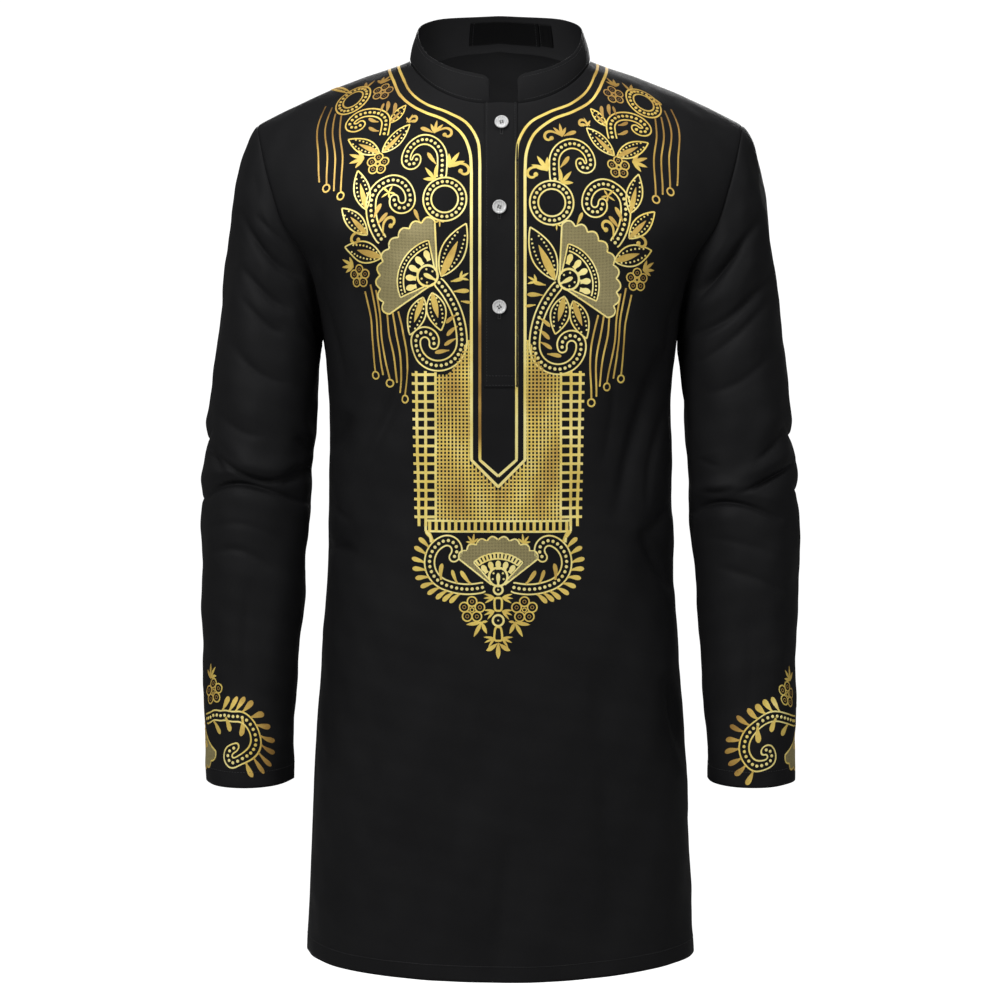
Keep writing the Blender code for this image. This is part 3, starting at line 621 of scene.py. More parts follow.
def cloth_wall(sheet):
    """The cloth's thickness over a sheet, double in the turned hem and thin at its very edge."""
    from_hem = sheet.down[-1] - sheet.down
    edge = np.clip(HEM_EDGE_SHARE + from_hem / HEM_EDGE, 0, 1)
    return np.where(from_hem < HEM_BAND, HEM_WALL, SHELL) * edge


CLOTH_DARK = (0.0078, 0.0078, 0.0084)
CLOTH_PALE = (0.0126, 0.0126, 0.0132)
THREAD_PITCH = 0.00055

cloth = Finish("black_cloth", CLOTH_DARK, 0.5, Specular_IOR_Level=0.05)
cloth_place = cloth.add("ShaderNodeUVMap", {"uv_map": "cloth"})
cloth_across = cloth.add("ShaderNodeSeparateXYZ", {}, {0: cloth_place})
cloth_down = cloth.add("ShaderNodeSeparateXYZ", {}, {0: cloth_place}, output=1)
cloth_slub = cloth.noise(cloth_place, 900.0)
cloth_cloud = cloth.noise(cloth_place, 16.0, 4.0)
cloth_turns = 2 * pi / THREAD_PITCH
cloth_weave = (cloth_across * cloth_turns).sine() * (cloth_down * cloth_turns).sine()
cloth.bump(cloth_weave * 0.5 + cloth_slub * 0.8, 0.30, 0.00012)
cloth.feed("Roughness", cloth_cloud * 0.14 + cloth_slub * 0.06 + 0.44)
cloth.feed("Base Color", cloth.blend(cloth_cloud, CLOTH_DARK, CLOTH_PALE))

SEWN_REACH = 0.020
TOP_REACH = 0.030
NECK_BEYOND = 0.004
FULL_FROM = 0.02
FULL_RUN = 0.35
FULL_HEIGHT = 0.0014
FULL_TURNS = 38
FULL_STARTS = {"front": 0.7, "back": 2.1}
sheets = {}
for face, sign in (("front", -1), ("back", 1)):
    outward = np.array((0, sign, 0.3))
    grid = panel_grid(face)
    normals = grid_normals(grid, outward)
    plain = Sheet(grid, normals, MIDDLE, CHEST_ROW)
    from_side = np.minimum(
        plain.across - plain.across[:, :1], plain.across[:, -1:] - plain.across
    )
    from_top = plain.down - plain.down[:1]
    ease = np.clip(from_side / SEWN_REACH, 0, 1) * np.clip(from_top / TOP_REACH, 0, 1)
    shift = fold_shift(grid, normals, [fold for fold in BODY_FOLDS if fold.face == face])
    shift += cloth_waves(plain.across, plain.down)
    fullness = np.clip((plain.down - FULL_FROM) / FULL_RUN, 0, 1)
    shift += fullness * FULL_HEIGHT * np.sin(plain.across * FULL_TURNS + FULL_STARTS[face])
    grid = grid + normals * (shift * ease)[:, :, None]
    normals = grid_normals(grid, outward)
    sheet = Sheet(grid, normals, MIDDLE, CHEST_ROW)
    sheets[face] = sheet
    neck_sink = np.where(abs(grid[:1, :, 0]) < NECK_HALF_WIDTH + NECK_BEYOND, NECK_SINK, SEAM_SINK)
    sink = SEAM_SINK * np.exp(-from_side / SEAM_WIDTH) + neck_sink * np.exp(-from_top / SEAM_WIDTH)
    outer = grid - normals * np.minimum(sink, SEAM_SINK)[:, :, None]
    inner = outer - normals * cloth_wall(sheet)[:, :, None]
    panel = show(face + "_panel", wall_mesh(face, outer, inner, sheet, cloth.material), "cloth")
    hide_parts(face)
    flat_width = float(sheet.across[-1, -1] - sheet.across[-1, 0])
    flat_width = max(flat_width, float(sheet.across[0, -1] - sheet.across[0, 0]))
    flat_length = float(sheet.down[-1, MIDDLE] - sheet.down[0, MIDDLE]) + 0.06

# Sleeves. Each is a long set-in sleeve of the same cloth, one piece with a seam under the arm, eased into
# the armhole and turned in at the wrist. The right and left ones crease unlike each other at the elbow.
CAP_PARTS = (0, 0.002, 0.006, 0.014, 0.026)
CAP_ROWS = 70
SLEEVE_ROWS = 230
ELBOW_DROP = 0.395
ELBOW_REACH = 0.075
ELBOW_CLOSENESS = 1.8
SLEEVE_FOOT = 0.6600
ARMHOLE_GAP = 0.0002
CUFF_DIP = 0.0030
CUFF_DIP_FROM = 0.600
CAP_OUT_SHOULDER = 0.71
CAP_OUT_ARMPIT = 0.21
CAP_DOWN_SHOULDER = 0.70
CAP_DOWN_ARMPIT = 0.97
CAP_FORWARD = 0.10
CAP_START_REACH = 0.14
CAP_END_REACH = 0.60
CAP_LANDING_STEP = 0.010
CAP_EASE = 0.018
SEAM_TURN = 0.0025
SLEEVE_WAVES = 1.3
SLEEVE_WAVE_SHIFT = 0.3

SLEEVE = table(
    "drop out half_out forward half_forward",
    (0.2744, 0.2148, 0.0490, 0.004, 0.0620),
    (0.3110, 0.2187, 0.0496, 0.006, 0.0615),
    (0.3490, 0.2214, 0.0497, 0.008, 0.0605),
    (0.3850, 0.2249, 0.0506, 0.010, 0.0600),
    (0.4220, 0.2262, 0.0500, 0.013, 0.0585),
    (0.4590, 0.2278, 0.0486, 0.016, 0.0560),
    (0.4960, 0.2288, 0.0472, 0.019, 0.0535),
    (0.5330, 0.2294, 0.0448, 0.022, 0.0505),
    (0.5700, 0.2305, 0.0431, 0.025, 0.0475),
    (0.6070, 0.2314, 0.0417, 0.028, 0.0450),
    (0.6620, 0.2316, 0.0398, 0.032, 0.0420),
)
LEFT_SLEEVE_FOLDS = folds_of(
    front=(
        (-238, 136, -212, 178, -176, 200, 12, 4.5), (-236, 188, -214, 213, -188, 230, 12, 3.5),
        (-269, 350, -217, 383, -180, 368, 8, 4.2), (-272, 403, -235, 386, -170, 410, 8, 5),
        (-222, 142, -200, 163, -178, 180, 7, 2.2), (-236, 216, -213, 240, -196, 250, 8, 2.4),
        (-246, 255, -222, 283, -190, 296, 10, 1.8), (-262, 318, -236, 338, -212, 342, 12, 1),
        (-198, 387, -185, 380, -169, 371, 6, 3), (-268, 430, -234, 422, -196, 440, 12, 0.8),
        (-262, 452, -236, 446, -206, 466, 12, 1.6), (-226, 470, -232, 540, -226, 610, 14, 1.4),
        (-265, 358, -258, 367, -250, 375, 4, 2.2), (-187, 344, -177, 352, -172, 364, 5, 1.8),
    ),
    back=(
        (-240, 150, -215, 190, -182, 222, 13, 4.5), (-270, 372, -225, 395, -176, 384, 13, 4.5),
        (-272, 455, -228, 445, -180, 470, 14, 4), (-256, 210, -226, 236, -190, 262, 10, 2.4),
        (-270, 344, -236, 360, -196, 352, 9, 2.4), (-266, 410, -226, 422, -182, 412, 10, 2.6),
    ),
    left=(
        (-40, 336, -5, 350, 30, 340, 10, 3), (-46, 394, -10, 404, 26, 412, 10, 1.8),
    ),
)
RIGHT_SLEEVE_FOLDS = folds_of(
    front=(
        (176, 213, 206, 186, 242, 139, 12, 4.5), (172, 252, 212, 232, 253, 192, 12, 4.5),
        (214, 395, 246, 382, 274, 366, 8, 4.8), (176, 417, 206, 403, 260, 420, 8, 4.8),
        (174, 226, 199, 196, 224, 170, 7, 2.4), (178, 278, 216, 250, 250, 216, 9, 2.6),
        (186, 305, 222, 290, 254, 262, 11, 1.6), (184, 362, 190, 368, 200, 370, 8, 1),
        (186, 436, 220, 440, 262, 456, 12, 0.8), (196, 462, 228, 470, 262, 486, 12, 1.4),
        (222, 480, 228, 550, 222, 620, 14, 1.4), (184, 394, 199, 394, 214, 389, 4, 1.6),
        (228, 368, 249, 352, 264, 328, 10, 2.2),
    ),
    back=(
        (182, 230, 215, 196, 242, 150, 13, 4.5), (178, 378, 225, 398, 272, 380, 13, 4.5),
        (182, 462, 230, 448, 274, 470, 14, 4), (190, 262, 226, 240, 256, 206, 10, 2.4),
        (196, 356, 236, 366, 270, 348, 9, 2.4), (182, 418, 226, 428, 266, 414, 10, 2.6),
    ),
    right=(
        (-40, 332, -5, 346, 30, 338, 10, 3.4), (-46, 388, -10, 398, 26, 406, 10, 3),
    ),
)


def sleeve_points(side, drop, angle):
    """Points of the sleeve below the cap; the angle is 0 outside, a quarter turn in front."""
    out = column_of(SLEEVE, "drop", "out", drop)
    half_out = column_of(SLEEVE, "drop", "half_out", drop)
    forward = column_of(SLEEVE, "drop", "forward", drop)
    half_forward = column_of(SLEEVE, "drop", "half_forward", drop)
    cuff = max(0.0, (drop - CUFF_DIP_FROM) / (SLEEVE_FOOT - CUFF_DIP_FROM))
    x = side * (out + half_out * np.cos(angle))
    y = -forward - half_forward * np.sin(angle)
    return np.stack((x, y, -drop - CUFF_DIP * cuff * np.sin(angle)), axis=-1)


def sleeve_drops():
    """Drops of the sleeve's rows, closest together round the elbow, where the cloth creases most."""
    drops = np.linspace(SLEEVE[0].drop, SLEEVE_FOOT, 600)
    run = np.cumsum(1 + ELBOW_CLOSENESS * np.exp(-(((drops - ELBOW_DROP) / ELBOW_REACH) ** 2)))
    return np.interp(np.linspace(run[0], run[-1], SLEEVE_ROWS + 1), run, drops)


def run_of(line):
    """The distance along a line of points, from its first one."""
    return np.concatenate(([0], np.cumsum(np.linalg.norm(np.diff(line, axis=0), axis=1))))


def sleeve_rows(side):
    """Outer points of one sleeve, and the way that the panels' cloth faces round its armhole."""
    column = -1 if side > 0 else 0
    edges = [sheets[face].grid[: CHEST_ROW + 1, column] for face in ("front", "back")]
    ways = [sheets[face].normals[: CHEST_ROW + 1, column] for face in ("front", "back")]
    loop = np.concatenate((edges[0], edges[1][-2:0:-1]))
    way = np.concatenate((ways[0], ways[1][-2:0:-1]))
    shares = []
    for edge in edges:
        run = run_of(edge)
        shares.append(pi * run / run[-1])
    angles = np.concatenate((shares[0], 2 * pi - shares[1][-2:0:-1]))
    start = loop + np.array((side * ARMHOLE_GAP, 0, 0))
    low = 0.5 * (1 - np.cos(angles))
    end = sleeve_points(side, SLEEVE[0].drop, angles)
    reach = np.linalg.norm(end - start, axis=1, keepdims=True)
    out = CAP_OUT_SHOULDER * (1 - low) + CAP_OUT_ARMPIT * low
    fall = CAP_DOWN_SHOULDER * (1 - low) + CAP_DOWN_ARMPIT * low
    heading = unit(np.stack((side * out, -CAP_FORWARD * np.sin(angles), -fall), axis=1))
    ahead = unit(sleeve_points(side, SLEEVE[0].drop + CAP_LANDING_STEP, angles) - end)
    first = start + heading * reach * CAP_START_REACH
    second = end - ahead * reach * CAP_END_REACH
    rows = []
    for t in CAP_PARTS + tuple(np.linspace(CAP_PARTS[-1], 1, CAP_ROWS + 1)[1:]):
        near = (1 - t) ** 3 * start + 3 * t * (1 - t) ** 2 * first
        rows.append(near + 3 * t**2 * (1 - t) * second + t**3 * end)
    for drop in sleeve_drops()[1:]:
        rows.append(sleeve_points(side, drop, angles))
    return np.array(rows), way


for name, side, folds in (
    ("sleeve_left", -1, LEFT_SLEEVE_FOLDS),
    ("sleeve_right", 1, RIGHT_SLEEVE_FOLDS),
):
    grid, seam_way = sleeve_rows(side)
    outward = grid - grid.mean(axis=1, keepdims=True)
    normals = grid_normals(grid, outward, wraps=True)
    plain = Sheet(grid, normals, 0, len(CAP_PARTS) + CAP_ROWS, wraps=True)
    from_top = plain.down - plain.down[:1]
    shift = fold_shift(grid, normals, folds)
    shift += SLEEVE_WAVES * cloth_waves(plain.across + SLEEVE_WAVE_SHIFT * side, plain.down)
    grid = grid + normals * (shift * np.clip(from_top / CAP_EASE, 0, 1))[:, :, None]
    normals = grid_normals(grid, outward, wraps=True)
    near_seam = np.exp(-from_top / SEAM_TURN)[:, :, None]
    normals = unit(normals * (1 - near_seam) + seam_way[None] * near_seam)
    sheet = Sheet(grid, normals, 0, len(CAP_PARTS) + CAP_ROWS, wraps=True)
    sheets[name] = sheet
    outer = grid - normals * (SEAM_SINK * np.exp(-from_top / SEAM_WIDTH))[:, :, None]
    inner = outer - normals * cloth_wall(sheet)[:, :, None]
    mesh = wall_mesh(name, outer, inner, sheet, cloth.material, wraps=True)
    sleeve = show(name + "_cloth", mesh, "cloth")
    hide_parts(name)

# Collar. A stand of two layers with a stiff lining, sewn round the neck and open at the front, where its
# two ends are rounded. It is stitched along the rim and along its foot.
COLLAR_WALL = 0.0016
COLLAR_COLUMNS = 260
COLLAR_EDGE = 0.0011
RIM_HALF_WIDTH = 0.0760
RIM_FRONT = 0.0715
RIM_BACK = 0.0430
COLLAR_END_LEFT = 0.0095
COLLAR_END_RIGHT = 0.0160
COLLAR_CORNER = 0.008
COLLAR_CORNER_CUT = 0.0072
COLLAR_BELLY = 0.0014
COLLAR_MIDDLE = -0.012
COLLAR_FOOT_SINK = 0.0006
COLLAR_FOOT_REACH = 0.0014
COLLAR_EDGE_ROUND = 0.97
COLLAR_END_STEPS = (0.06, 0.16, 0.32)
COLLAR_SEAM_ROW = 2
COLLAR_RIM = table(
    "angle rim_drop",
    (0, 0.0197),
    (30, 0.0098),
    (55, -0.0025),
    (90, -0.0275),
    (130, -0.0410),
    (180, -0.0465),
)


def neck_edge(angle):
    """The panels' neck edge at angles round the neck, between -180 and 180 degrees."""
    part = np.minimum(abs(angle), 180 - abs(angle)) / 180 * np.where(angle >= 0, 1, -1)
    places = []
    for axis in range(3):
        before = np.interp(part, column_parts, sheets["front"].grid[0, :, axis])
        behind = np.interp(part, column_parts, sheets["back"].grid[0, :, axis])
        places.append(np.where(abs(angle) <= 90, before, behind))
    return np.stack(places, axis=-1)


def end_angle(out):
    """The angle round the neck at which a collar end lies."""
    return np.degrees(np.arcsin((out / NECK_HALF_WIDTH) ** (NECK_SQUARENESS / 2)))


def off_middle(points):
    """Level ways from the collar's middle line out to points."""
    return (points - np.array((0, COLLAR_MIDDLE, 0))) * np.array((1, 1, 0))


first_angle = end_angle(COLLAR_END_RIGHT)
last_angle = 360 - end_angle(COLLAR_END_LEFT)
angles = np.linspace(first_angle, last_angle, COLLAR_COLUMNS + 1)
ends = np.array(COLLAR_END_STEPS)
angles = np.sort(np.concatenate((angles, first_angle + ends, last_angle - ends)))
angles = np.where(angles <= 180, angles, angles - 360)
turn = np.radians(angles)
power = 2 / NECK_SQUARENESS
rim_y = np.abs(np.cos(turn)) ** power * np.where(np.cos(turn) >= 0, -RIM_FRONT, RIM_BACK)
rim_x = RIM_HALF_WIDTH * np.abs(np.sin(turn)) ** power * np.sign(np.sin(turn))
rim = np.stack((rim_x, rim_y, -column_of(COLLAR_RIM, "angle", "rim_drop", abs(angles))), axis=1)
seam = neck_edge(angles)
rise = unit(rim - seam)
run = run_of(rim)
to_end = np.minimum(run, run[-1] - run)
corner = np.clip(1 - to_end / COLLAR_CORNER, 0, 1)
rim = rim - rise * (COLLAR_CORNER_CUT * (1 - np.sqrt(1 - corner**2)))[:, None]
stand_parts = np.concatenate(((-0.05, -0.025), np.linspace(0, 0.94, 20), (0.96, 0.975, 0.988, 0.996, 1.0)))
rows = []
for t in stand_parts:
    plan = seam * (1 - t) + rim * t
    rows.append(plan + unit(off_middle(plan)) * COLLAR_BELLY * sin(pi * t))
grid = np.array(rows)
outward = off_middle(grid)
normals = grid_normals(grid, outward)
collar_middle = int(np.argmin(abs(abs(angles) - 180)))
collar = Sheet(grid, normals, collar_middle, COLLAR_SEAM_ROW)
from_rim = collar.down[-1] - collar.down
round_off = np.clip(1 - np.minimum(from_rim, to_end[None, :] + 0 * from_rim) / COLLAR_EDGE, 0, 1)
fatness = 0.5 * COLLAR_WALL * np.sqrt(1 - round_off**2 * COLLAR_EDGE_ROUND)
middle_layer = grid - normals * COLLAR_WALL / 2
foot = COLLAR_FOOT_SINK * np.clip(1 - collar.down / COLLAR_FOOT_REACH, 0, 2)
outer = middle_layer + normals * (fatness - foot)[:, :, None]
inner = middle_layer - normals * (fatness + 0.2 * foot)[:, :, None]
sheets["collar_inside"] = Sheet(inner, -normals, collar_middle, COLLAR_SEAM_ROW)
collar_piece = show("collar_stand", wall_mesh("collar_stand", outer, inner, collar, cloth.material), "cloth")
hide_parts("collar")

# Placket. A band of the same cloth, folded and sewn over the slit in the front, from the neck seam to a
# stitched end on the chest. It lies flat on the front.
PLACKET_LEFT = 0.0143
PLACKET_RIGHT = 0.0160
PLACKET_END_DROP = 0.298
PLACKET_TOP_ROW = 0.4
PLACKET_ROWS = 150
PLACKET_COLUMNS = 22
PLACKET_LIFT = 0.0009
PLACKET_EDGE = 0.0012
PLACKET_EDGE_ROUND = 0.9
PLACKET_FOOT = 0.00004
PINCH_DEPTH = 0.00022
PINCH_FROM_EDGE = 0.0028
PINCH_WIDTH = 0.0006

front = sheets["front"]
end_row = float(np.interp(PLACKET_END_DROP, -front.grid[:, MIDDLE, 2], np.arange(front.grid.shape[0])))
band_rows = np.linspace(PLACKET_TOP_ROW, end_row, PLACKET_ROWS)
band_edge = PLACKET_EDGE / (PLACKET_LEFT + PLACKET_RIGHT)
band_parts = np.concatenate((
    (0, 0.3 * band_edge, 0.7 * band_edge), np.linspace(band_edge, 1 - band_edge, PLACKET_COLUMNS),
    (1 - 0.7 * band_edge, 1 - 0.3 * band_edge, 1),
))
every = np.arange(front.grid.shape[1], dtype=float)
band_r = []
band_c = []
for r in band_rows:
    line = front.read(front.grid[:, :, 0], np.full(len(every), r), every)
    x = -PLACKET_LEFT + band_parts * (PLACKET_LEFT + PLACKET_RIGHT)
    band_c.append(np.interp(x, line, every))
    band_r.append(np.full(len(x), r))
band_r = np.array(band_r)
band_c = np.array(band_c)
base = front.lay(band_r, band_c, np.full(band_r.shape, PLACKET_FOOT))
placket = Sheet(base, front.read(front.normals, band_r, band_c), len(band_parts) // 2, 0)
from_edge = np.minimum(placket.across - placket.across[:, :1], placket.across[:, -1:] - placket.across)
from_edge = np.minimum(from_edge, placket.down[-1] - placket.down)
plump = np.sqrt(1 - np.clip(1 - from_edge / PLACKET_EDGE, 0, 1) ** 2 * PLACKET_EDGE_ROUND)
pinch = PINCH_DEPTH * np.exp(-((from_edge - PINCH_FROM_EDGE) / PINCH_WIDTH) ** 2)
top = front.lay(band_r, band_c, PLACKET_LIFT * plump - pinch)
placket_piece = show("placket_band", wall_mesh("placket_band", top, base, placket, cloth.material), "cloth")
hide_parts("placket")
sheets["placket"] = Sheet(top, placket.normals, len(band_parts) // 2, 0)

# Topstitching. Black thread, run by machine along the collar's rim and foot, both placket edges and its
# end, and the hems of the body and the sleeves. Each stitch is a small bead of thread half sunk in.
STITCH_PITCH = 0.0027
STITCH_LENGTH = 0.0022
STITCH_WIDTH = 0.00042
STITCH_HEIGHT = 0.00034


class Grower:
    """A Geometry Nodes tree with named inputs, built one node at a time."""

    def __init__(self, name, **inputs):
        self.tree = bpy.data.node_groups.new(name, "GeometryNodeTree")
        for label, kind in {"Geometry": "Geometry", **inputs}.items():
            self.tree.interface.new_socket(label, in_out="INPUT", socket_type="NodeSocket" + kind)
        self.tree.interface.new_socket("Geometry", in_out="OUTPUT", socket_type="NodeSocketGeometry")
        self.given = self.tree.nodes.new("NodeGroupInput").outputs

    def add(self, kind, settings=None, inputs=None, output=0):
        node = self.tree.nodes.new(kind)
        for key, value in (settings or {}).items():
            setattr(node, key, value)
        for key, value in (inputs or {}).items():
            if isinstance(value, bpy.types.NodeSocket):
                self.tree.links.new(value, node.inputs[key])
            else:
                node.inputs[key].default_value = value
        return node.outputs[output]

    def named(self, name, kind="FLOAT"):
        """A value that each point of the mesh carries under a name."""
        return self.add("GeometryNodeInputNamedAttribute", {"data_type": kind}, {"Name": name}, "Attribute")

    def repeat(self, points, piece, rotation, scale, material, smooth):
        """Ends the tree with the piece on every point, as real faces of one material."""
        inputs = {"Points": points, "Instance": piece, "Rotation": rotation, "Scale": scale}
        made = self.add("GeometryNodeInstanceOnPoints", {}, inputs)
        made = self.add("GeometryNodeRealizeInstances", {}, {"Geometry": made})
        made = self.add("GeometryNodeSetShadeSmooth", {}, {"Geometry": made, "Shade Smooth": smooth})
        made = self.add("GeometryNodeSetMaterial", {}, {"Geometry": made, "Material": self.given[material]})
        self.tree.links.new(made, self.tree.nodes.new("NodeGroupOutput").inputs[0])
        return self.tree


def stitch_tree():
    """A node tree that sets a bead of thread at equal steps along each path of an edge mesh."""
    grow = Grower(
        "machine_stitches", Pitch="Float", Length="Float", Width="Float", Height="Float", Thread="Material"
    )
    path = grow.add("GeometryNodeMeshToCurve", {}, {"Mesh": grow.given["Geometry"]})
    inputs = {"Curve": path, "Length": grow.given["Pitch"]}
    steps = grow.add("GeometryNodeCurveToPoints", {"mode": "LENGTH"}, inputs, "Points")
    lean = grow.named("lean", "FLOAT_VECTOR")
    tangent = steps.node.outputs["Tangent"]
    along = grow.add("FunctionNodeAlignRotationToVector", {"axis": "X"}, {"Vector": tangent})
    settings = {"axis": "Z", "pivot_axis": "X"}
    upright = grow.add("FunctionNodeAlignRotationToVector", settings, {"Rotation": along, "Vector": lean})
    sizes = {0: grow.given["Length"], 1: grow.given["Width"], 2: grow.given["Height"]}
    size = grow.add("ShaderNodeCombineXYZ", {}, sizes)
    bead = grow.add("GeometryNodeMeshUVSphere", {}, {"Segments": 6, "Rings": 4, "Radius": 0.5})
    return grow.repeat(steps, bead, upright, size, "Thread", True)


def run_tree(name, tree, mesh, values):
    """The plain mesh that a node tree makes from another, with its inputs set by name."""
    holder = bpy.data.objects.new(name + "_paths", mesh)
    bpy.context.scene.collection.objects.link(holder)
    modifier = holder.modifiers.new("tree", "NODES")
    modifier.node_group = tree
    for item in tree.interface.items_tree:
        if item.in_out == "INPUT" and item.name in values:
            modifier[item.identifier] = values[item.name]
    evaluated = holder.evaluated_get(bpy.context.evaluated_depsgraph_get())
    made = bpy.data.meshes.new_from_object(evaluated)
    made.name = name
    bpy.data.objects.remove(holder)
    bpy.data.meshes.remove(mesh)
    return made


def give(mesh, name, kind, values):
    """Puts one named value on each point of a mesh."""
    entries = mesh.attributes.new(name, kind, "POINT").data
    entries.foreach_set("value" if kind == "FLOAT" else "vector", np.concatenate(values).reshape(-1))


def path_mesh(name, paths):
    """An edge mesh of paths; a path is its points, the cloth's normals there and whether it closes."""
    points = []
    leans = []
    edges = []
    for line, ways, closed in paths:
        first = len(points)
        points += line.tolist()
        leans.append(ways)
        edges += [(k, k + 1) for k in range(first, len(points) - 1)]
        if closed:
            edges.append((len(points) - 1, first))
    mesh = bpy.data.meshes.new(name)
    mesh.from_pydata(points, edges, [])
    give(mesh, "lean", "FLOAT_VECTOR", leans)
    return mesh


def sewn_line(sheet, r, c, lift=0.00006, closed=False):
    """A path over a sheet at rows and columns, as path_mesh takes it."""
    r = np.asarray(r, float)
    c = np.asarray(c, float)
    return sheet.lay(r, c, np.full(r.shape, lift)), sheet.read(sheet.normals, r, c), closed


def row_above(sheet, column, height):
    """The row that lies a height above a sheet's last row, in one column."""
    rise = sheet.down[-1, column] - sheet.down[:, column]
    return float(np.interp(-height, -rise, np.arange(len(rise))))


thread = Finish("black_thread", (0.012, 0.012, 0.013), 0.45)
thread_place = thread.place()
thread_twist = thread.wave(thread_place, 900.0, 2.0)
thread.feed("Base Color", thread.blend(thread_twist, (0.009, 0.009, 0.010), (0.017, 0.017, 0.018)))
thread.bump(thread_twist, 0.3, 0.0001)

STITCH_FROM_HEM = 0.0145
STITCH_FROM_RIM = 0.0036
STITCH_FROM_FOOT = 0.0030
STITCH_FROM_EDGE = 0.0028
STITCH_END_ROWS = 4
CROSS_STITCHES = (0.0026, 0.0110)
CROSS_STITCH_COLUMNS = 24
paths = []
for name in ("front", "back", "sleeve_left", "sleeve_right"):
    sheet = sheets[name]
    inset = 0 if sheet.wraps else 3
    columns = np.arange(inset, sheet.grid.shape[1] - inset)
    hem_rows = [row_above(sheet, c, STITCH_FROM_HEM) for c in columns]
    paths.append(sewn_line(sheet, hem_rows, columns, closed=sheet.wraps))
collar_columns = np.arange(6, collar.grid.shape[1] - 6)
for height in (STITCH_FROM_FOOT, None):
    line = []
    for c in collar_columns:
        rise = collar.down[:, c]
        target = height if height else rise[-1] - STITCH_FROM_RIM
        line.append(float(np.interp(target, rise, np.arange(len(rise)))))
    paths.append(sewn_line(collar, line, collar_columns))
band = sheets["placket"]
for side_part in (0, 1):
    line = []
    for r in range(STITCH_END_ROWS, PLACKET_ROWS - STITCH_END_ROWS):
        across = band.across[r]
        target = across[0] + STITCH_FROM_EDGE if side_part == 0 else across[-1] - STITCH_FROM_EDGE
        line.append(float(np.interp(target, across, np.arange(len(across)))))
    paths.append(sewn_line(band, range(STITCH_END_ROWS, PLACKET_ROWS - STITCH_END_ROWS), line))
for above_end in CROSS_STITCHES:
    r = row_above(band, len(band_parts) // 2, above_end)
    columns = np.linspace(4, len(band_parts) - 5, CROSS_STITCH_COLUMNS)
    paths.append(sewn_line(band, np.full(CROSS_STITCH_COLUMNS, r), columns))
stitching = stitch_tree()
stitches = run_tree("topstitching", stitching, path_mesh("topstitch_paths", paths), {
    "Pitch": STITCH_PITCH, "Length": STITCH_LENGTH, "Width": STITCH_WIDTH, "Height": STITCH_HEIGHT,
    "Thread": thread.material,
})
show("topstitching", stitches, "cloth")

# Buttons. Three four-hole buttons of pearly white plastic with a raised rim and a dished middle, each sewn
# on with two passes of pale thread. Under each, a buttonhole is worked in black thread along the placket.
BUTTON_RADIUS = 0.0063
BUTTON_THICK = 0.0022
BUTTON_SIDES = 48
BUTTON_HOLE = 0.00075
BUTTON_HOLE_STEP = 0.00145
BUTTON_FOOT = 0.0011
BUTTONHOLE_LENGTH = 0.0165
BUTTONHOLE_HALF = 0.0011
BUTTONHOLE_LOWER = 0.0022
BUTTONHOLE_STEPS = 60
BUTTONHOLE_LIFT = 0.00005
SEWING_RADIUS = 0.00021
SEWING_APART = 0.00022
SEWING_LIFT = 0.00022
SEWING_TOP = 0.00036
SEWING_FOOT = -0.0008
BUTTONS = table(
    "name x drop turn",
    ("button_top", 0.0014, 0.0617, 12),
    ("button_middle", -0.0006, 0.1377, -20),
    ("button_low", -0.0006, 0.2261, 35),
)
BUTTON_RIM = table(
    "radius_share height_share",
    (0.70, 0.00), (0.86, 0.08), (0.96, 0.30), (1.00, 0.55), (0.985, 0.80),
    (0.94, 0.96), (0.88, 1.00), (0.81, 0.95), (0.75, 0.80), (0.68, 0.70),
    (0.58, 0.66), (0.40, 0.64),
)

pearl = Finish("pearly_plastic", (0.6, 0.6, 0.6), 0.22, Coat_Weight=0.4, Coat_Roughness=0.1)
pearl_place = pearl.place()
pearl_cloud = pearl.noise(pearl_place, 260.0, 5.0)
pearl_grain = pearl.wave(pearl_place, 190.0, 9.0)
pearl_share = pearl_cloud * 0.6 + pearl_grain * 0.4
pearl.feed("Base Color", pearl.blend(pearl_share, (0.36, 0.36, 0.37), (0.74, 0.74, 0.73)))
pearl.feed("Roughness", pearl_cloud * 0.2 + 0.12)
pearl.bump(pearl_grain, 0.05, 0.0002)
sewing_thread = Finish("pale_thread", (0.42, 0.41, 0.40), 0.6)
sewing_place = sewing_thread.place()
sewing_twist = sewing_thread.wave(sewing_place, 1500.0)
sewing_thread.feed("Base Color", sewing_thread.blend(sewing_twist, (0.10, 0.10, 0.10), (0.26, 0.26, 0.25)))
sewing_thread.bump(sewing_twist, 0.4, 0.0001)


def placket_spot(x, drop):
    """A point on the placket's face seen from the front, and the cloth's normal there."""
    r = np.interp(drop, -band.grid[:, len(band_parts) // 2, 2], np.arange(PLACKET_ROWS))
    every = np.arange(len(band_parts), dtype=float)
    line = band.read(band.grid[:, :, 0], np.full(len(every), r), every)
    c = np.interp(x, line, every)
    r, c = np.array((r,)), np.array((c,))
    return band.lay(r, c, np.zeros(1))[0], band.read(band.normals, r, c)[0]


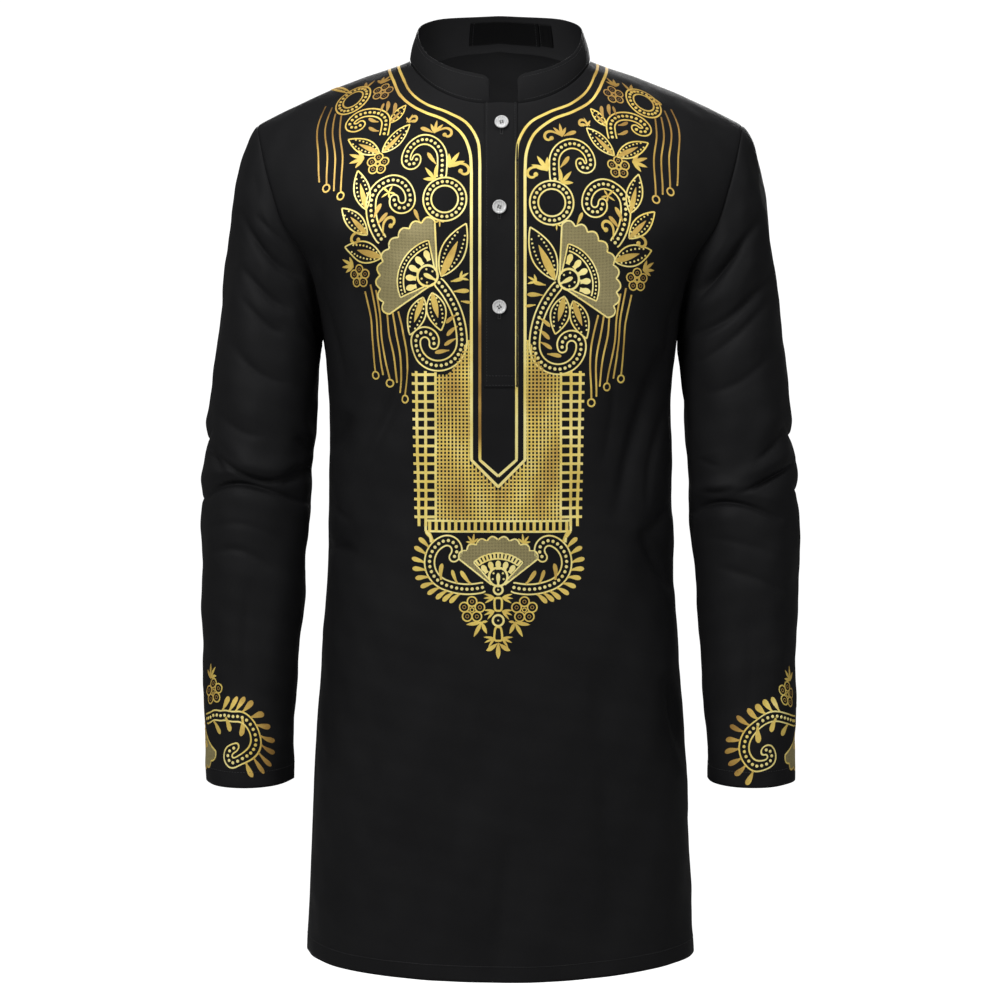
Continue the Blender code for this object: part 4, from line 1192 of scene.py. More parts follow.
def thread_tube(shape, line, radius, sides=8):
    """A round thread through a few points, its ends closed."""
    line = [Vector(p) for p in line]
    loops = []
    for k, point in enumerate(line):
        ahead = (line[min(k + 1, len(line) - 1)] - line[max(k - 1, 0)]).normalized()
        across = ahead.orthogonal().normalized()
        other = ahead.cross(across)
        loop = []
        for s in range(sides):
            angle = 2 * pi * s / sides
            loop.append(shape.verts.new(point + radius * (across * cos(angle) + other * sin(angle))))
        loops.append(loop)
    for low, high in zip(loops, loops[1:]):
        offset = min(range(sides), key=lambda k: (low[0].co - high[k].co).length)
        for s in range(sides):
            a, b = high[(s + offset) % sides], high[(s + 1 + offset) % sides]
            shape.faces.new((low[s], low[(s + 1) % sides], b, a))
    shape.faces.new(loops[0][::-1])
    shape.faces.new(loops[-1])


buttonhole_paths = []
for row in BUTTONS:
    foot, way = placket_spot(row.x, row.drop)
    foot, way = Vector(foot), Vector(way).normalized()
    side = Vector((1, 0, 0))
    side = (side - way * side.dot(way)).normalized()
    upright = Matrix((side, way.cross(side), way)).transposed().to_4x4()
    place = Matrix.Translation(foot + way * (BUTTON_FOOT - PLACKET_LIFT)) @ upright
    place = place @ Matrix.Rotation(radians(row.turn), 4, "Z")
    shape = bmesh.new()
    loops = []
    for rim_row in BUTTON_RIM:
        radius = BUTTON_RADIUS * rim_row.radius_share
        height = BUTTON_THICK * rim_row.height_share
        loop = []
        for k in range(BUTTON_SIDES):
            angle = 2 * pi * k / BUTTON_SIDES
            loop.append(shape.verts.new((radius * cos(angle), radius * sin(angle), height)))
        loops.append(loop)
    for low, high in zip(loops, loops[1:]):
        for k in range(BUTTON_SIDES):
            after = (k + 1) % BUTTON_SIDES
            shape.faces.new((low[k], low[after], high[after], high[k]))
    shape.faces.new(loops[0][::-1])
    shape.faces.new(loops[-1])
    mesh = bpy.data.meshes.new(row.name)
    shape.to_mesh(mesh)
    shape.free()
    cutter_shape = bmesh.new()
    for k in range(4):
        angle = pi / 4 + pi / 2 * k
        centre = (BUTTON_HOLE_STEP * cos(angle), BUTTON_HOLE_STEP * sin(angle), BUTTON_THICK / 2)
        bmesh.ops.create_cone(
            cutter_shape, cap_ends=True, segments=16, radius1=BUTTON_HOLE, radius2=BUTTON_HOLE,
            depth=BUTTON_THICK * 3, matrix=Matrix.Translation(centre),
        )
    cutter_mesh = bpy.data.meshes.new("holes")
    cutter_shape.to_mesh(cutter_mesh)
    cutter_shape.free()
    blank = show("blank", mesh)
    cutter = show("holes", cutter_mesh)
    cut = blank.modifiers.new("holes", "BOOLEAN")
    cut.object = cutter
    evaluated = blank.evaluated_get(bpy.context.evaluated_depsgraph_get())
    drilled = bpy.data.meshes.new_from_object(evaluated)
    bpy.data.objects.remove(blank)
    bpy.data.objects.remove(cutter)
    drilled.transform(place)
    drilled.materials.clear()
    drilled.materials.append(pearl.material)
    drilled.shade_smooth()
    drilled.set_sharp_from_angle(angle=radians(35))
    button = show(row.name + "_pearl", drilled, "button")
    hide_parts(row.name)
    sewn = bmesh.new()
    step = BUTTON_HOLE_STEP * cos(pi / 4)
    floor_height = BUTTON_THICK * 0.64
    for x_side in (-1, 1):
        for nudge in (-SEWING_APART, SEWING_APART):
            x = x_side * step + nudge
            thread_tube(sewn, (
                (x * 0.96, -step, SEWING_FOOT), (x, -step, floor_height * 0.5),
                (x, -step * 0.86, floor_height + SEWING_LIFT), (x * 1.03, 0, floor_height + SEWING_TOP),
                (x, step * 0.86, floor_height + SEWING_LIFT), (x, step, floor_height * 0.5),
                (x * 0.96, step, SEWING_FOOT),
            ), SEWING_RADIUS)
    sewn.transform(place)
    thread_mesh = bpy.data.meshes.new(row.name + "_thread")
    sewn.to_mesh(thread_mesh)
    sewn.free()
    thread_mesh.materials.append(sewing_thread.material)
    thread_mesh.shade_smooth()
    show(row.name + "_thread", thread_mesh, "button")
    worked = []
    for step_share in np.linspace(0, 1, BUTTONHOLE_STEPS, endpoint=False):
        angle = 2 * pi * step_share
        along = 0.5 * BUTTONHOLE_LENGTH * np.clip(1.25 * cos(angle), -1, 1)
        across = BUTTONHOLE_HALF * np.clip(1.6 * sin(angle), -1, 1)
        worked.append(placket_spot(row.x + across, row.drop + BUTTONHOLE_LOWER + along))
    line = np.array([w[0] for w in worked])
    ways = np.array([w[1] for w in worked])
    buttonhole_paths.append((line + ways * BUTTONHOLE_LIFT, ways, True))
worked = run_tree("buttonhole_thread", stitching, path_mesh("buttonhole_paths", buttonhole_paths), {
    "Pitch": 0.0005, "Length": 0.00046, "Width": 0.0013, "Height": 0.00042, "Thread": thread.material,
})
show("buttonhole_thread", worked, "cloth")

# Neck label and size tab. Two bare strips of black satin ribbon, folded at their ends and sewn to the
# inside of the collar at the back. Nothing is printed on them.
LABEL_LIFT = 0.00022
LABEL_THICK = 0.00050
LABEL_EDGE = 0.0006
LABEL_SAG = 0.0004
LABEL_ROW = 8
BEHIND_NECK = 0.015
LABELS = table(
    "name node low high foot top lift",
    ("neck_label_ribbon", "neck_label", -0.0290, 0.0376, 0.20, 0.84, 0.0),
    ("size_tab_ribbon", "size_tab", 0.0380, 0.0500, 0.24, 0.82, 0.0003),
)
inside = sheets["collar_inside"]
satin = Finish("black_satin_ribbon", (0.001, 0.001, 0.001), 0.50, Specular_IOR_Level=0.06)
satin_place = satin.add("ShaderNodeUVMap", {"uv_map": "cloth"})
satin_down = satin.add("ShaderNodeSeparateXYZ", {}, {0: satin_place}, output=1)
satin_rib = (satin_down * (2 * pi / 0.0004)).sine()
satin_grain = satin.noise(satin_place, 420.0)
satin.bump(satin_rib * 0.4 + satin_grain * 0.5, 0.35, 0.0001)
satin.feed("Roughness", satin_grain * 0.15 + 0.45)
satin.feed("Base Color", satin.blend(satin_grain, (0.0006, 0.0006, 0.0007), (0.0016, 0.0016, 0.0018)))
label_paths = []
behind = np.flatnonzero(inside.grid[LABEL_ROW, :, 1] > BEHIND_NECK)
order = behind[np.argsort(inside.grid[LABEL_ROW, behind, 0])]
for row in LABELS:
    parts = np.concatenate(((0, 0.01, 0.025), np.linspace(0.05, 0.95, 30), (0.975, 0.99, 1)))
    x = row.low + parts * (row.high - row.low)
    c = np.interp(x, inside.grid[LABEL_ROW, order, 0], order)
    t = np.concatenate(((0, 0.015, 0.04), np.linspace(0.07, 0.93, 12), (0.96, 0.985, 1)))
    r = np.interp(row.foot + t * (row.top - row.foot), stand_parts, np.arange(len(stand_parts)))
    r, c = np.meshgrid(r, c, indexing="ij")
    from_end = np.minimum(parts, 1 - parts)[None, :] * (row.high - row.low)
    from_top = np.minimum(t, 1 - t)[:, None] * (row.top - row.foot) * 0.04
    soft = np.sqrt(1 - np.clip(1 - np.minimum(from_end, from_top) / LABEL_EDGE, 0, 1) ** 2 * 0.9)
    sag = LABEL_SAG * np.sin(parts * 3 * pi)[None, :] * np.sin(t * pi)[:, None]
    lift = LABEL_LIFT + row.lift + LABEL_THICK * soft + np.maximum(0, sag)
    base = inside.lay(r, c, LABEL_LIFT + row.lift + np.maximum(0, sag))
    top = inside.lay(r, c, lift)
    ribbon = Sheet(top, inside.read(inside.normals, r, c), len(parts) // 2, 0)
    piece = show(row.name, wall_mesh(row.name, top, base, ribbon, satin.material), "label")
    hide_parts(row.node)
    width = row.high - row.low
    width * 0.0290
    for end in ((3, len(parts) - 4) if row.node == "neck_label" else (3,)):
        label_paths.append(sewn_line(ribbon, range(2, len(t) - 2), np.full(len(t) - 4, end), 0.00002))
sewn = run_tree("label_stitches", stitching, path_mesh("label_paths", label_paths), {
    "Pitch": 0.0022, "Length": 0.0018, "Width": 0.0003, "Height": 0.00022, "Thread": thread.material,
})
show("label_stitches", sewn, "label")

# Gold print. Foil in pale and deep gold, pressed on the front and round each wrist: rails and a fine lattice
# under the placket, a pendant, and fields of scrolls, leaves, flowers, fans and fringes, in the tradition
# of printed tunics. Each form is drawn by rule from its place, size and turn, in millimetres.
FOIL_LIFT = 0.00014
FOIL_DEPTH = 0.00010
PRINT_MIDDLE = -1.6
PRINT_STEP = 1.6
OUTLINE = 1.35
BRIGHT, GOLD, DEEP = 0.95, 0.72, 0.45


class Foil:
    """Foil on one sheet, laid out in millimetres out from a middle line and down, and mirrored by side."""

    def __init__(self, sheet, middle, side, shift=0.0, seen=True, zero=0.0):
        self.sheet = sheet
        self.middle = middle
        self.side = side
        self.shift = shift
        self.seen = seen
        self.zero = zero
        self.spots = []
        self.lifts = []
        self.tones = []
        self.pales = []
        self.faces = []
        self.count = 0
        self.drawn = 0
        self.dots = []

    def at(self, points):
        """Cloth places of points that are given as seen from the front, in millimetres."""
        points = np.atleast_2d(np.asarray(points, float))
        if not self.seen:
            return points
        x = (self.middle + self.side * points[:, 0]) / 1000
        across, down = self.sheet.seen(x, -(points[:, 1] + self.shift) / 1000)
        out = self.side * (across * 1000 - self.middle)
        return np.stack((out, down * 1000 + self.zero - self.shift), axis=1)

    def spot(self, out, drop):
        """The cloth place of one point that is given as seen from the front."""
        return self.at((out, drop))[0]

    def line(self, path, width, tone=GOLD, closed=False, pale=0.0):
        """A flat strip of foil along a path of cloth places; the width may change along it."""
        path = np.asarray(path, float)
        count = len(path)
        if closed:
            ahead = np.roll(path, -1, axis=0) - np.roll(path, 1, axis=0)
        else:
            ahead = np.gradient(path, axis=0)
        ahead /= np.maximum(np.linalg.norm(ahead, axis=1, keepdims=True), 1e-9)
        half = np.broadcast_to(width, (count,)) / 2
        aside = np.stack((-ahead[:, 1], ahead[:, 0]), axis=1) * half[:, None]
        spots = np.stack((path + aside, path - aside, path - aside, path + aside), axis=1).reshape(-1, 2)
        self.drawn += 1
        lift = FOIL_LIFT + 0.000006 * (self.drawn % 9)
        lifts = np.tile((lift, lift, -FOIL_DEPTH, -FOIL_DEPTH), count)
        k = np.arange(count if closed else count - 1)[:, None] * 4
        s = np.arange(4)
        after = (k + 4) % (4 * count)
        faces = np.stack((k + s, k + (s + 1) % 4, after + (s + 1) % 4, after + s), axis=-1).reshape(-1, 4)
        if not closed:
            end = 4 * (count - 1)
            faces = np.concatenate((faces, ((3, 2, 1, 0), (end, end + 1, end + 2, end + 3))))
        self.faces.append(faces + self.count)
        self.spots.append(spots)
        self.lifts.append(lifts)
        self.tones.append(np.broadcast_to(np.repeat(tone, 4 if np.ndim(tone) else 1), (len(spots),)))
        self.pales.append(np.full(len(spots), pale))
        self.count += len(spots)

    def dot(self, centre, radius, tone=1.0):
        self.dots.append((centre[0], centre[1], radius, tone))

    def ring(self, centre, radius, width, tone=GOLD, sides=None):
        sides = sides or int(max(12, radius * 4))
        angle = np.linspace(0, 2 * pi, sides, endpoint=False)
        circle = np.stack((np.cos(angle), np.sin(angle)), axis=1) * radius + centre
        self.line(circle, width, tone, closed=True)

    def to_sheet(self, spots):
        """Rows and columns on the sheet for cloth places in this print's own measures."""
        across = (self.middle + self.side * spots[:, 0]) / 1000
        down = (spots[:, 1] + self.shift - self.zero) / 1000
        return self.sheet.places(across, down)


def resample(path, step):
    """Points at equal steps along a path."""
    path = np.asarray(path, float)
    run = run_of(path)
    count = max(2, int(round(run[-1] / step)) + 1)
    at = np.linspace(0, run[-1], count)
    return np.stack((np.interp(at, run, path[:, 0]), np.interp(at, run, path[:, 1])), axis=1)


def soft_curve(points, step=PRINT_STEP):
    """A smooth curve through a few points."""
    points = np.asarray(points, float)
    run = run_of(points)
    at = np.linspace(0, run[-1], max(3, int(run[-1] / step * 2)))
    curve = np.stack((smooth(run, points[:, 0], at), smooth(run, points[:, 1], at)), axis=1)
    return resample(curve, step)


def heading(turn):
    """The ways of turns in degrees, 0 outward and 90 up, in layout measures, where down is positive."""
    turn = np.radians(turn)
    return np.stack((np.cos(turn), -np.sin(turn)), axis=-1)


# A scroll grows from a foot along a stem, swings round in a wide arc and rolls in to a small hook. It is a
# band of two lines with dots between. Turns are in degrees, 0 outward and 90 up; a hand of 1 turns left.
Scroll = namedtuple("Scroll", "x drop turn stem bend reach swing hook roll hand wide", defaults=(1,))
SCROLL_HALF = 4.5
SCROLL_STEP = 0.8
SCROLL_EASE = 7
SCROLL_DOT_PITCH = 4.65
SCROLL_DOT = 1.55


def scroll_line(row, foot):
    """The middle line of a scroll, from its foot to its head."""
    bends = []
    for length, turn in (
        (row.stem, row.bend),
        (row.reach * radians(row.swing), row.swing),
        (row.hook * radians(row.roll), row.roll),
    ):
        count = max(1, round(length / SCROLL_STEP))
        bends += [radians(turn) / count] * count
    bends = np.pad(bends, SCROLL_EASE // 2, mode="edge")
    bends = np.convolve(bends, np.full(SCROLL_EASE, 1 / SCROLL_EASE), "valid")
    angle = radians(row.turn) + row.hand * (np.cumsum(bends) - bends / 2)
    steps = np.stack((np.cos(angle) * row.wide, -np.sin(angle)), axis=1) * SCROLL_STEP
    return foot + np.concatenate(([[0, 0]], np.cumsum(steps, axis=0)))


def swelling(foil, base, turn, length, width, bend=0.0, tone=GOLD, foot=0.12, fullest=0.62, blunt=False):
    """A solid leaf or comma: thin at its base, fullest past the middle, with a pointed or a round tip."""
    t = np.array((0, 0.15, 0.30, 0.45, 0.60, 0.72, 0.82, 0.90, 0.96, 1.0))
    steps = heading(turn + bend * t[1:]) * (length * np.diff(t))[:, None]
    path = np.concatenate(([[0, 0]], np.cumsum(steps, axis=0))) + base
    past = np.clip((t - fullest) / (1 - fullest), 0, 1)
    rise = np.sin(pi / 2 * np.minimum(1, t / fullest)) ** 0.9
    rise *= np.cos(pi / 2 * past) ** (0.5 if blunt else 0.85)
    foil.line(path, np.maximum(foot * (1 - t) + 0.1, width * rise), tone)


def sprig(foil, base, turn, size, leaves=4, spread=52):
    """A few pointed leaves that fan out from one point."""
    for k in range(leaves):
        share = k / (leaves - 1) * 2 - 1
        length = size * (1 - 0.15 * abs(share)) * (0.9 + 0.1 * ((k * 7) % 3))
        swelling(foil, base, turn + spread * share, length, size * 0.235, 8 * share, GOLD, 1.2, 0.48)


def curl(foil, base, turn, size, hand):
    """A stem that rolls in to a tight hook and ends in a bead."""
    row = Scroll(0, 0, turn, size * 0.60, 8, size * 0.46, 70, size * 0.25, 190, hand)
    path = scroll_line(row, np.asarray(base, float))
    t = np.linspace(0, 1, len(path))
    foil.line(path, 1.1 + 1.5 * np.sin(pi * t * 0.8) ** 1.5, GOLD)
    foil.dot(path[-1], size * 0.15, GOLD)


def dotted_leaf(foil, base, tip, half_width):
    """A pointed leaf in outline, with a solid spindle and a row of dots round it."""
    base, tip = np.asarray(base, float), np.asarray(tip, float)
    length = np.linalg.norm(tip - base)
    ahead = (tip - base) / length
    aside = np.array((-ahead[1], ahead[0]))
    t = np.linspace(0, 1, 15)
    belly = half_width * np.sin(pi * t**0.9) ** 0.9
    sides = [base + ahead * length * t[:, None] + aside * (hand * belly)[:, None] for hand in (1, -1)]
    for edge in sides:
        foil.line(edge, OUTLINE, BRIGHT)
    core = np.linspace(0.0, 0.66, 11)
    width = half_width * 0.64 * np.sin(pi * (core / 0.66) ** 0.8) ** 0.8
    foil.line(base + ahead * length * core[:, None], np.maximum(0.4, width), DEEP + 0.18)
    for hand in (1, -1):
        for place in np.linspace(0.16, 0.80, max(3, int(length / 4.8))):
            away = half_width * sin(pi * place**0.9) ** 0.9 * 0.58
            foil.dot(base + ahead * length * place + aside * hand * away, 0.95, 1.0)


def ring_flower(foil, centre, reach, ring, turn=90, petals=5):
    """A flower of small rings round a smaller one, each ring with a tiny seed."""
    for k in range(petals):
        petal = centre + heading(turn + 360 / petals * k) * reach
        foil.ring(petal, ring, OUTLINE * 0.95, GOLD, 16)
        foil.ring(petal, ring * 0.36, 0.5, DEEP, 8)
    foil.ring(centre, ring * 0.42, 0.9, GOLD, 10)


def dotted_ring(foil, centre, outer, inner, dots):
    """Two circles with a circle of dots between."""
    foil.ring(centre, outer, OUTLINE * 1.15, BRIGHT, 48)
    foil.ring(centre, inner, OUTLINE * 1.15, BRIGHT, 36)
    for k in range(dots):
        foil.dot(centre + heading(360 / dots * k) * (outer + inner) / 2, 1.55, 1.0)


def dotted_scroll(foil, row, dots=SCROLL_DOT_PITCH):
    """Draws a scroll and gives its middle line, the way to its outer side and half its band's width."""
    foot = foil.spot(row.x, row.drop)
    line = scroll_line(row, foot)
    ahead = unit(np.gradient(line, axis=0))
    outer = np.stack((-ahead[:, 1], ahead[:, 0]), axis=1) * row.hand
    count = len(line)
    k = np.arange(count)
    half = SCROLL_HALF * np.clip(0.86 + k / 20, 0, 1) * np.clip(0.90 + (count - k) / 60, 0, 1)
    half = np.minimum(half, row.hook * 0.93)
    cap = []
    for angle in np.linspace(pi / 2, -pi / 2, 11)[1:-1]:
        cap.append(line[-1] + (ahead[-1] * cos(angle) + outer[-1] * sin(angle)) * half[-1])
    inner_side = line - outer * half[:, None]
    edge = np.concatenate((line + outer * half[:, None], np.array(cap), inner_side[::-1]))
    foil.line(resample(edge, 1.1), OUTLINE * 1.05, BRIGHT)
    for bead in resample(line[2:-1], dots):
        foil.dot(bead, SCROLL_DOT, 1.0)
    return line, outer, half


def comma_fringe(foil, row, line, outer, half, first, last, count, length, lean):
    """Commas that stand off the outer side of a scroll and lean toward its head."""
    for share, tilt in zip(np.linspace(first, last, count), np.linspace(lean[0], lean[1], count)):
        k = int(share * (len(line) - 1))
        turn = np.degrees(np.arctan2(-outer[k, 1], outer[k, 0])) + row.hand * (tilt + 10)
        base = line[k] + outer[k] * half[k]
        swelling(foil, base, turn, length, length * 0.34, -row.hand * 18, GOLD, 2.0, 0.74, True)


def fan(foil, hub, low, high, reach, dotted_reach, scallops, eye=0.27, barred=False, hatch=1.3):
    """A fan: scalloped and finely hatched at its rim, then a row of dots, petals and a dotted hub."""
    hub = np.asarray(hub, float)
    turns = np.linspace(low, high, scallops * 8 + 1)
    bulge = reach * (1 + 0.075 * np.abs(np.sin(pi * np.linspace(0, scallops, len(turns)))))
    rim = hub + heading(turns) * bulge[:, None]
    start = hub + heading(low) * reach * (eye - 0.18)
    finish = hub + heading(high) * reach * (eye - 0.18)
    foil.line(resample(np.concatenate(([start], rim, [finish])), 1.3), OUTLINE * 1.15, BRIGHT)
    inner_low, inner_high = low + 10, high - 10
    ways = heading(np.linspace(inner_low, inner_high, 26))
    arc = hub + ways * dotted_reach
    sides = (hub + heading(inner_low) * dotted_reach * 0.26, hub + heading(inner_high) * dotted_reach * 0.26)
    foil.line(resample(np.concatenate((sides[:1], arc, sides[1:])), 1.6), OUTLINE, BRIGHT)
    foil.line(hub + ways[1:-1] * dotted_reach * 0.84, OUTLINE, BRIGHT)
    count = int(dotted_reach * radians(high - low) / 4.4)
    for turn in np.linspace(inner_low + 4, inner_high - 4, count):
        if barred:
            ends = hub + np.outer((0.84, 1.0), heading(turn)) * dotted_reach
            foil.line(ends, 2.0, BRIGHT)
        else:
            foil.dot(hub + heading(turn) * dotted_reach * 0.92, dotted_reach * 0.026, 1.0)
    span = reach * 1.06
    axis_turn = radians((low + high) / 2)
    for crossing in (False, True):
        for offset in np.arange(-span, span, hatch):
            run = np.arange(-span, span, hatch)
            spots = np.stack((np.full(len(run), offset), run), axis=1)
            if crossing:
                spots = spots[:, ::-1]
            radius = np.linalg.norm(spots, axis=1)
            angle = np.arctan2(-spots[:, 1], spots[:, 0])
            off_axis = np.degrees(abs((angle - axis_turn + pi) % (2 * pi) - pi))
            half_span = (high - low) / 2
            scallop_share = 0.5 + (angle - axis_turn) / radians(high - low)
            bump = 1.0 + 0.065 * abs(np.sin(scallops * pi * scallop_share))
            in_rim = (radius > dotted_reach + 0.2) & (radius < reach * bump) & (off_axis < half_span - 0.5)
            in_sides = (radius > reach * 0.20) & (radius <= dotted_reach + 0.2)
            in_sides &= (off_axis < half_span - 0.8) & (off_axis > half_span - 9.5)
            drawn = np.concatenate(([False], in_rim | in_sides, [False]))
            starts = np.flatnonzero(drawn[1:-1] & ~drawn[:-2])
            stops = np.flatnonzero(drawn[1:-1] & ~drawn[2:])
            for first, last in zip(starts, stops):
                if last > first:
                    foil.line(resample(spots[[first, last]] + hub, 4.0), 0.72, GOLD, pale=1.0)
    petals = 5
    for k in range(petals):
        turn = inner_low + (k + 0.5) / petals * (inner_high - inner_low)
        start = hub + heading(turn) * dotted_reach * (0.46 + eye * 0.25)
        length = dotted_reach * (0.32 - eye * 0.2)
        swelling(foil, start, turn, length, dotted_reach * 0.15, 0, BRIGHT, 4.0, 0.60, True)
    middle_turn = (low + high) / 2
    eye_centre = hub + heading(middle_turn) * dotted_reach * eye
    foil.ring(eye_centre, dotted_reach * 0.25, OUTLINE * 1.5, BRIGHT, 28)
    swelling(foil, hub + heading(middle_turn) * dotted_reach * (eye - 0.22), middle_turn, dotted_reach * 0.33,
             dotted_reach * 0.11, 0, BRIGHT, 2.0, 0.66, True)
    for away_turn in (-112, -52, 52, 112):
        foil.dot(eye_centre + heading(middle_turn + away_turn) * dotted_reach * 0.16, 1.0, 1.0)


# The side fields of the print: fringe lines with ring ends, in millimetres out and down
FRINGES = (
    ((156.5, 44), (163, 64), (161.5, 90), (160.3, 114)),
    ((150.5, 45.5), (155.8, 64), (153.2, 90), (153.6, 116)),
    ((147, 51.5), (149, 66), (146, 92), (146.9, 122)),
    ((141.5, 53), (142.4, 68), (139.3, 92), (140.6, 123)),
    ((119, 212), (113.5, 238), (112, 260), (110, 283)),
    ((114, 206), (109, 233), (107.5, 254), (103, 286)),
    ((109, 211), (105.5, 233), (104, 254), (97, 290)),
    ((99, 231), (97.5, 249), (93, 270), (90.5, 293)),
    ((94, 231), (91, 249), (87.5, 268), (87.5, 302)),
    ((89, 230), (85.5, 244), (82.5, 260), (83, 304)),
)
RINGED_FRINGES = (1, 3, 4, 6, 9)
NECK_OUTER = ((99, 6), (95, 21), (86, 38), (66.5, 51.5), (46.5, 60), (31.5, 73), (25.2, 88.5), (23.8, 106))
NECK_INNER = ((91, 4), (87.5, 16), (80.5, 30.5), (65, 44), (44, 52.8), (28.8, 61.5), (18.2, 78.5), (16.3, 97))
FIELD_SCROLLS = (
    Scroll(102.5, 72.5, 94, 12, 8, 14.0, 160, 4.4, 175, -1, 1.34),
    Scroll(50.6, 111.0, 96, 18.5, 8, 18.0, 180, 5.4, 180, -1),
    Scroll(103, 167, 50, 38.5, 42, 18.6, 178, 7.8, 185, 1),
    Scroll(53.6, 203.5, 226, 59, 44, 21.2, 180, 8.6, 195, 1),
)
FIELD_LEAVES = table(
    "base_x base_drop tip_x tip_drop half_width",
    (106, 89, 134.5, 76, 7.0),
    (103.5, 88, 79, 63, 7.0),
    (117.5, 139.5, 125.3, 104.6, 7.4),
    (116.5, 162, 139.5, 138.2, 7.4),
    (103.5, 182, 137, 172.5, 9.4),
    (50.5, 199, 28.3, 152.3, 10.8),
    (66.5, 217.5, 78.6, 250.9, 8.0),
    (58.6, 213.5, 50.6, 247, 8.6),
    (97, 61, 83, 45, 5.0),
    (148, 39.5, 134, 32, 3.0),
)
FIELD_SPRIGS = table(
    "x drop turn size leaves spread",
    (57, 71, 100, 13, 3, 30),
    (44, 102, 125, 17, 3, 30),
    (56, 113, 48, 15, 3, 42),
    (120, 93.5, 0, 15, 4, 48),
    (97.4, 124.5, 45, 8.0, 5, 144),
    (129.5, 190, 20, 13, 4, 45),
    (51.8, 149.5, -90, 6, 3, 62),
    (106, 23.5, 90, 13, 4, 45),
    (120, 28, 60, 14, 3, 40),
    (34, 200.5, 150, 9, 3, 38),
    (80, 61, 110, 9, 3, 50),
)
FIELD_CURLS = table(
    "x drop turn size hand",
    (55.5, 70, 150, 14, 1),
    (41.5, 100, 168, 15, 1),
    (102, 163, 82, 15, 1),
    (118, 160.5, 12, 14, -1),
    (82, 61, 128, 11, 1),
)
FIELD_COMMAS = table(
    "x drop turn length bend",
    (58.5, 70.5, 25, 14, -10), (55.2, 99, 45, 14, 10),
    (107.5, 60, 0, 12, 40), (107, 68.5, 0, 12, 40),
    (106, 51, 95, 10, 0), (101, 52, 108, 14, -45), (95, 54, 112, 14, -45),
    (110.5, 147, 105, 14, 20), (107, 153, 120, 13, 20), (70, 150, 65, 12, 0),
    (37.0, 233, -25, 12, -25), (36.0, 243, -28, 13, -25), (37.5, 254, -20, 12, -20),
    (43.5, 264.5, -4, 13, -10),
    (42, 203.5, 172, 12, -12), (39.5, 212.5, 172, 14, 10), (33, 221, 188, 9, 0),
)


def side_field(foil):
    """One side field: scrolls, leaves, flowers, rings, a fan and two fringes."""
    for row in FIELD_SCROLLS:
        dotted_scroll(foil, row)
    for row in FIELD_LEAVES:
        ends = foil.at(((row.base_x, row.base_drop), (row.tip_x, row.tip_drop)))
        dotted_leaf(foil, ends[0], ends[1], row.half_width)
    ring_flower(foil, foil.spot(107.5, 98.5), 6.4, 4.1)
    ring_flower(foil, foil.spot(124, 198.7), 6.6, 4.1)
    ring_flower(foil, foil.spot(104.5, 31.5), 6.4, 3.9)
    dotted_ring(foil, foil.spot(47.6, 130.5), 20.0, 12.4, 22)
    dotted_ring(foil, foil.spot(131.5, 38), 17.5, 10.2, 20)
    for row in FIELD_SPRIGS:
        sprig(foil, foil.spot(row.x, row.drop), row.turn, row.size, row.leaves, row.spread)
    for row in FIELD_CURLS:
        curl(foil, foil.spot(row.x, row.drop), row.turn, row.size, row.hand)
    for row in FIELD_COMMAS:
        base = foil.spot(row.x, row.drop)
        swelling(foil, base, row.turn, row.length, row.length * 0.28, row.bend, DEEP + 0.17, 1.0, 0.68, True)
    fan(foil, foil.spot(54.0, 203), -33, 87, 53.5, 37, 9)
    for k, places in enumerate(FRINGES):
        line = soft_curve(foil.at(places), 2.5)
        foil.line(line, 1.6, DEEP + 0.14)
        if k in RINGED_FRINGES:
            foil.ring(line[-1] + (0, 4.0), 3.3, 1.5, GOLD, 16)
        else:
            foil.dot(line[-1], 0.95, GOLD)


# The middle of the print: neck lines that run down beside the placket to a point, rails and the lattice
LATTICE_PITCH = 3.27
LATTICE_BAR = 1.45
RAIL_PITCH = 7.95
LATTICE_TOP = 286.0
LATTICE_SHOULDER = 30.0
LATTICE_FOOT = 416.5
BAND_FOOT = 426.0
POINT_DROP = 386.0
POINT_START = 362.0
LATTICE_OUT = 52.32
BORDER_OUT = 55.7
RAIL_OUTS = (64.7, 73.0)
RAIL_TICK = 4.0
RAIL_LEAN = 2.2
BAND_OUT = 64.8
CELL_PITCH = 5.83


def bar(foil, start, end, width, tone, step=4):
    """A straight strip between two places seen from the front."""
    foil.line(resample(foil.at((start, end)), step), width, tone)


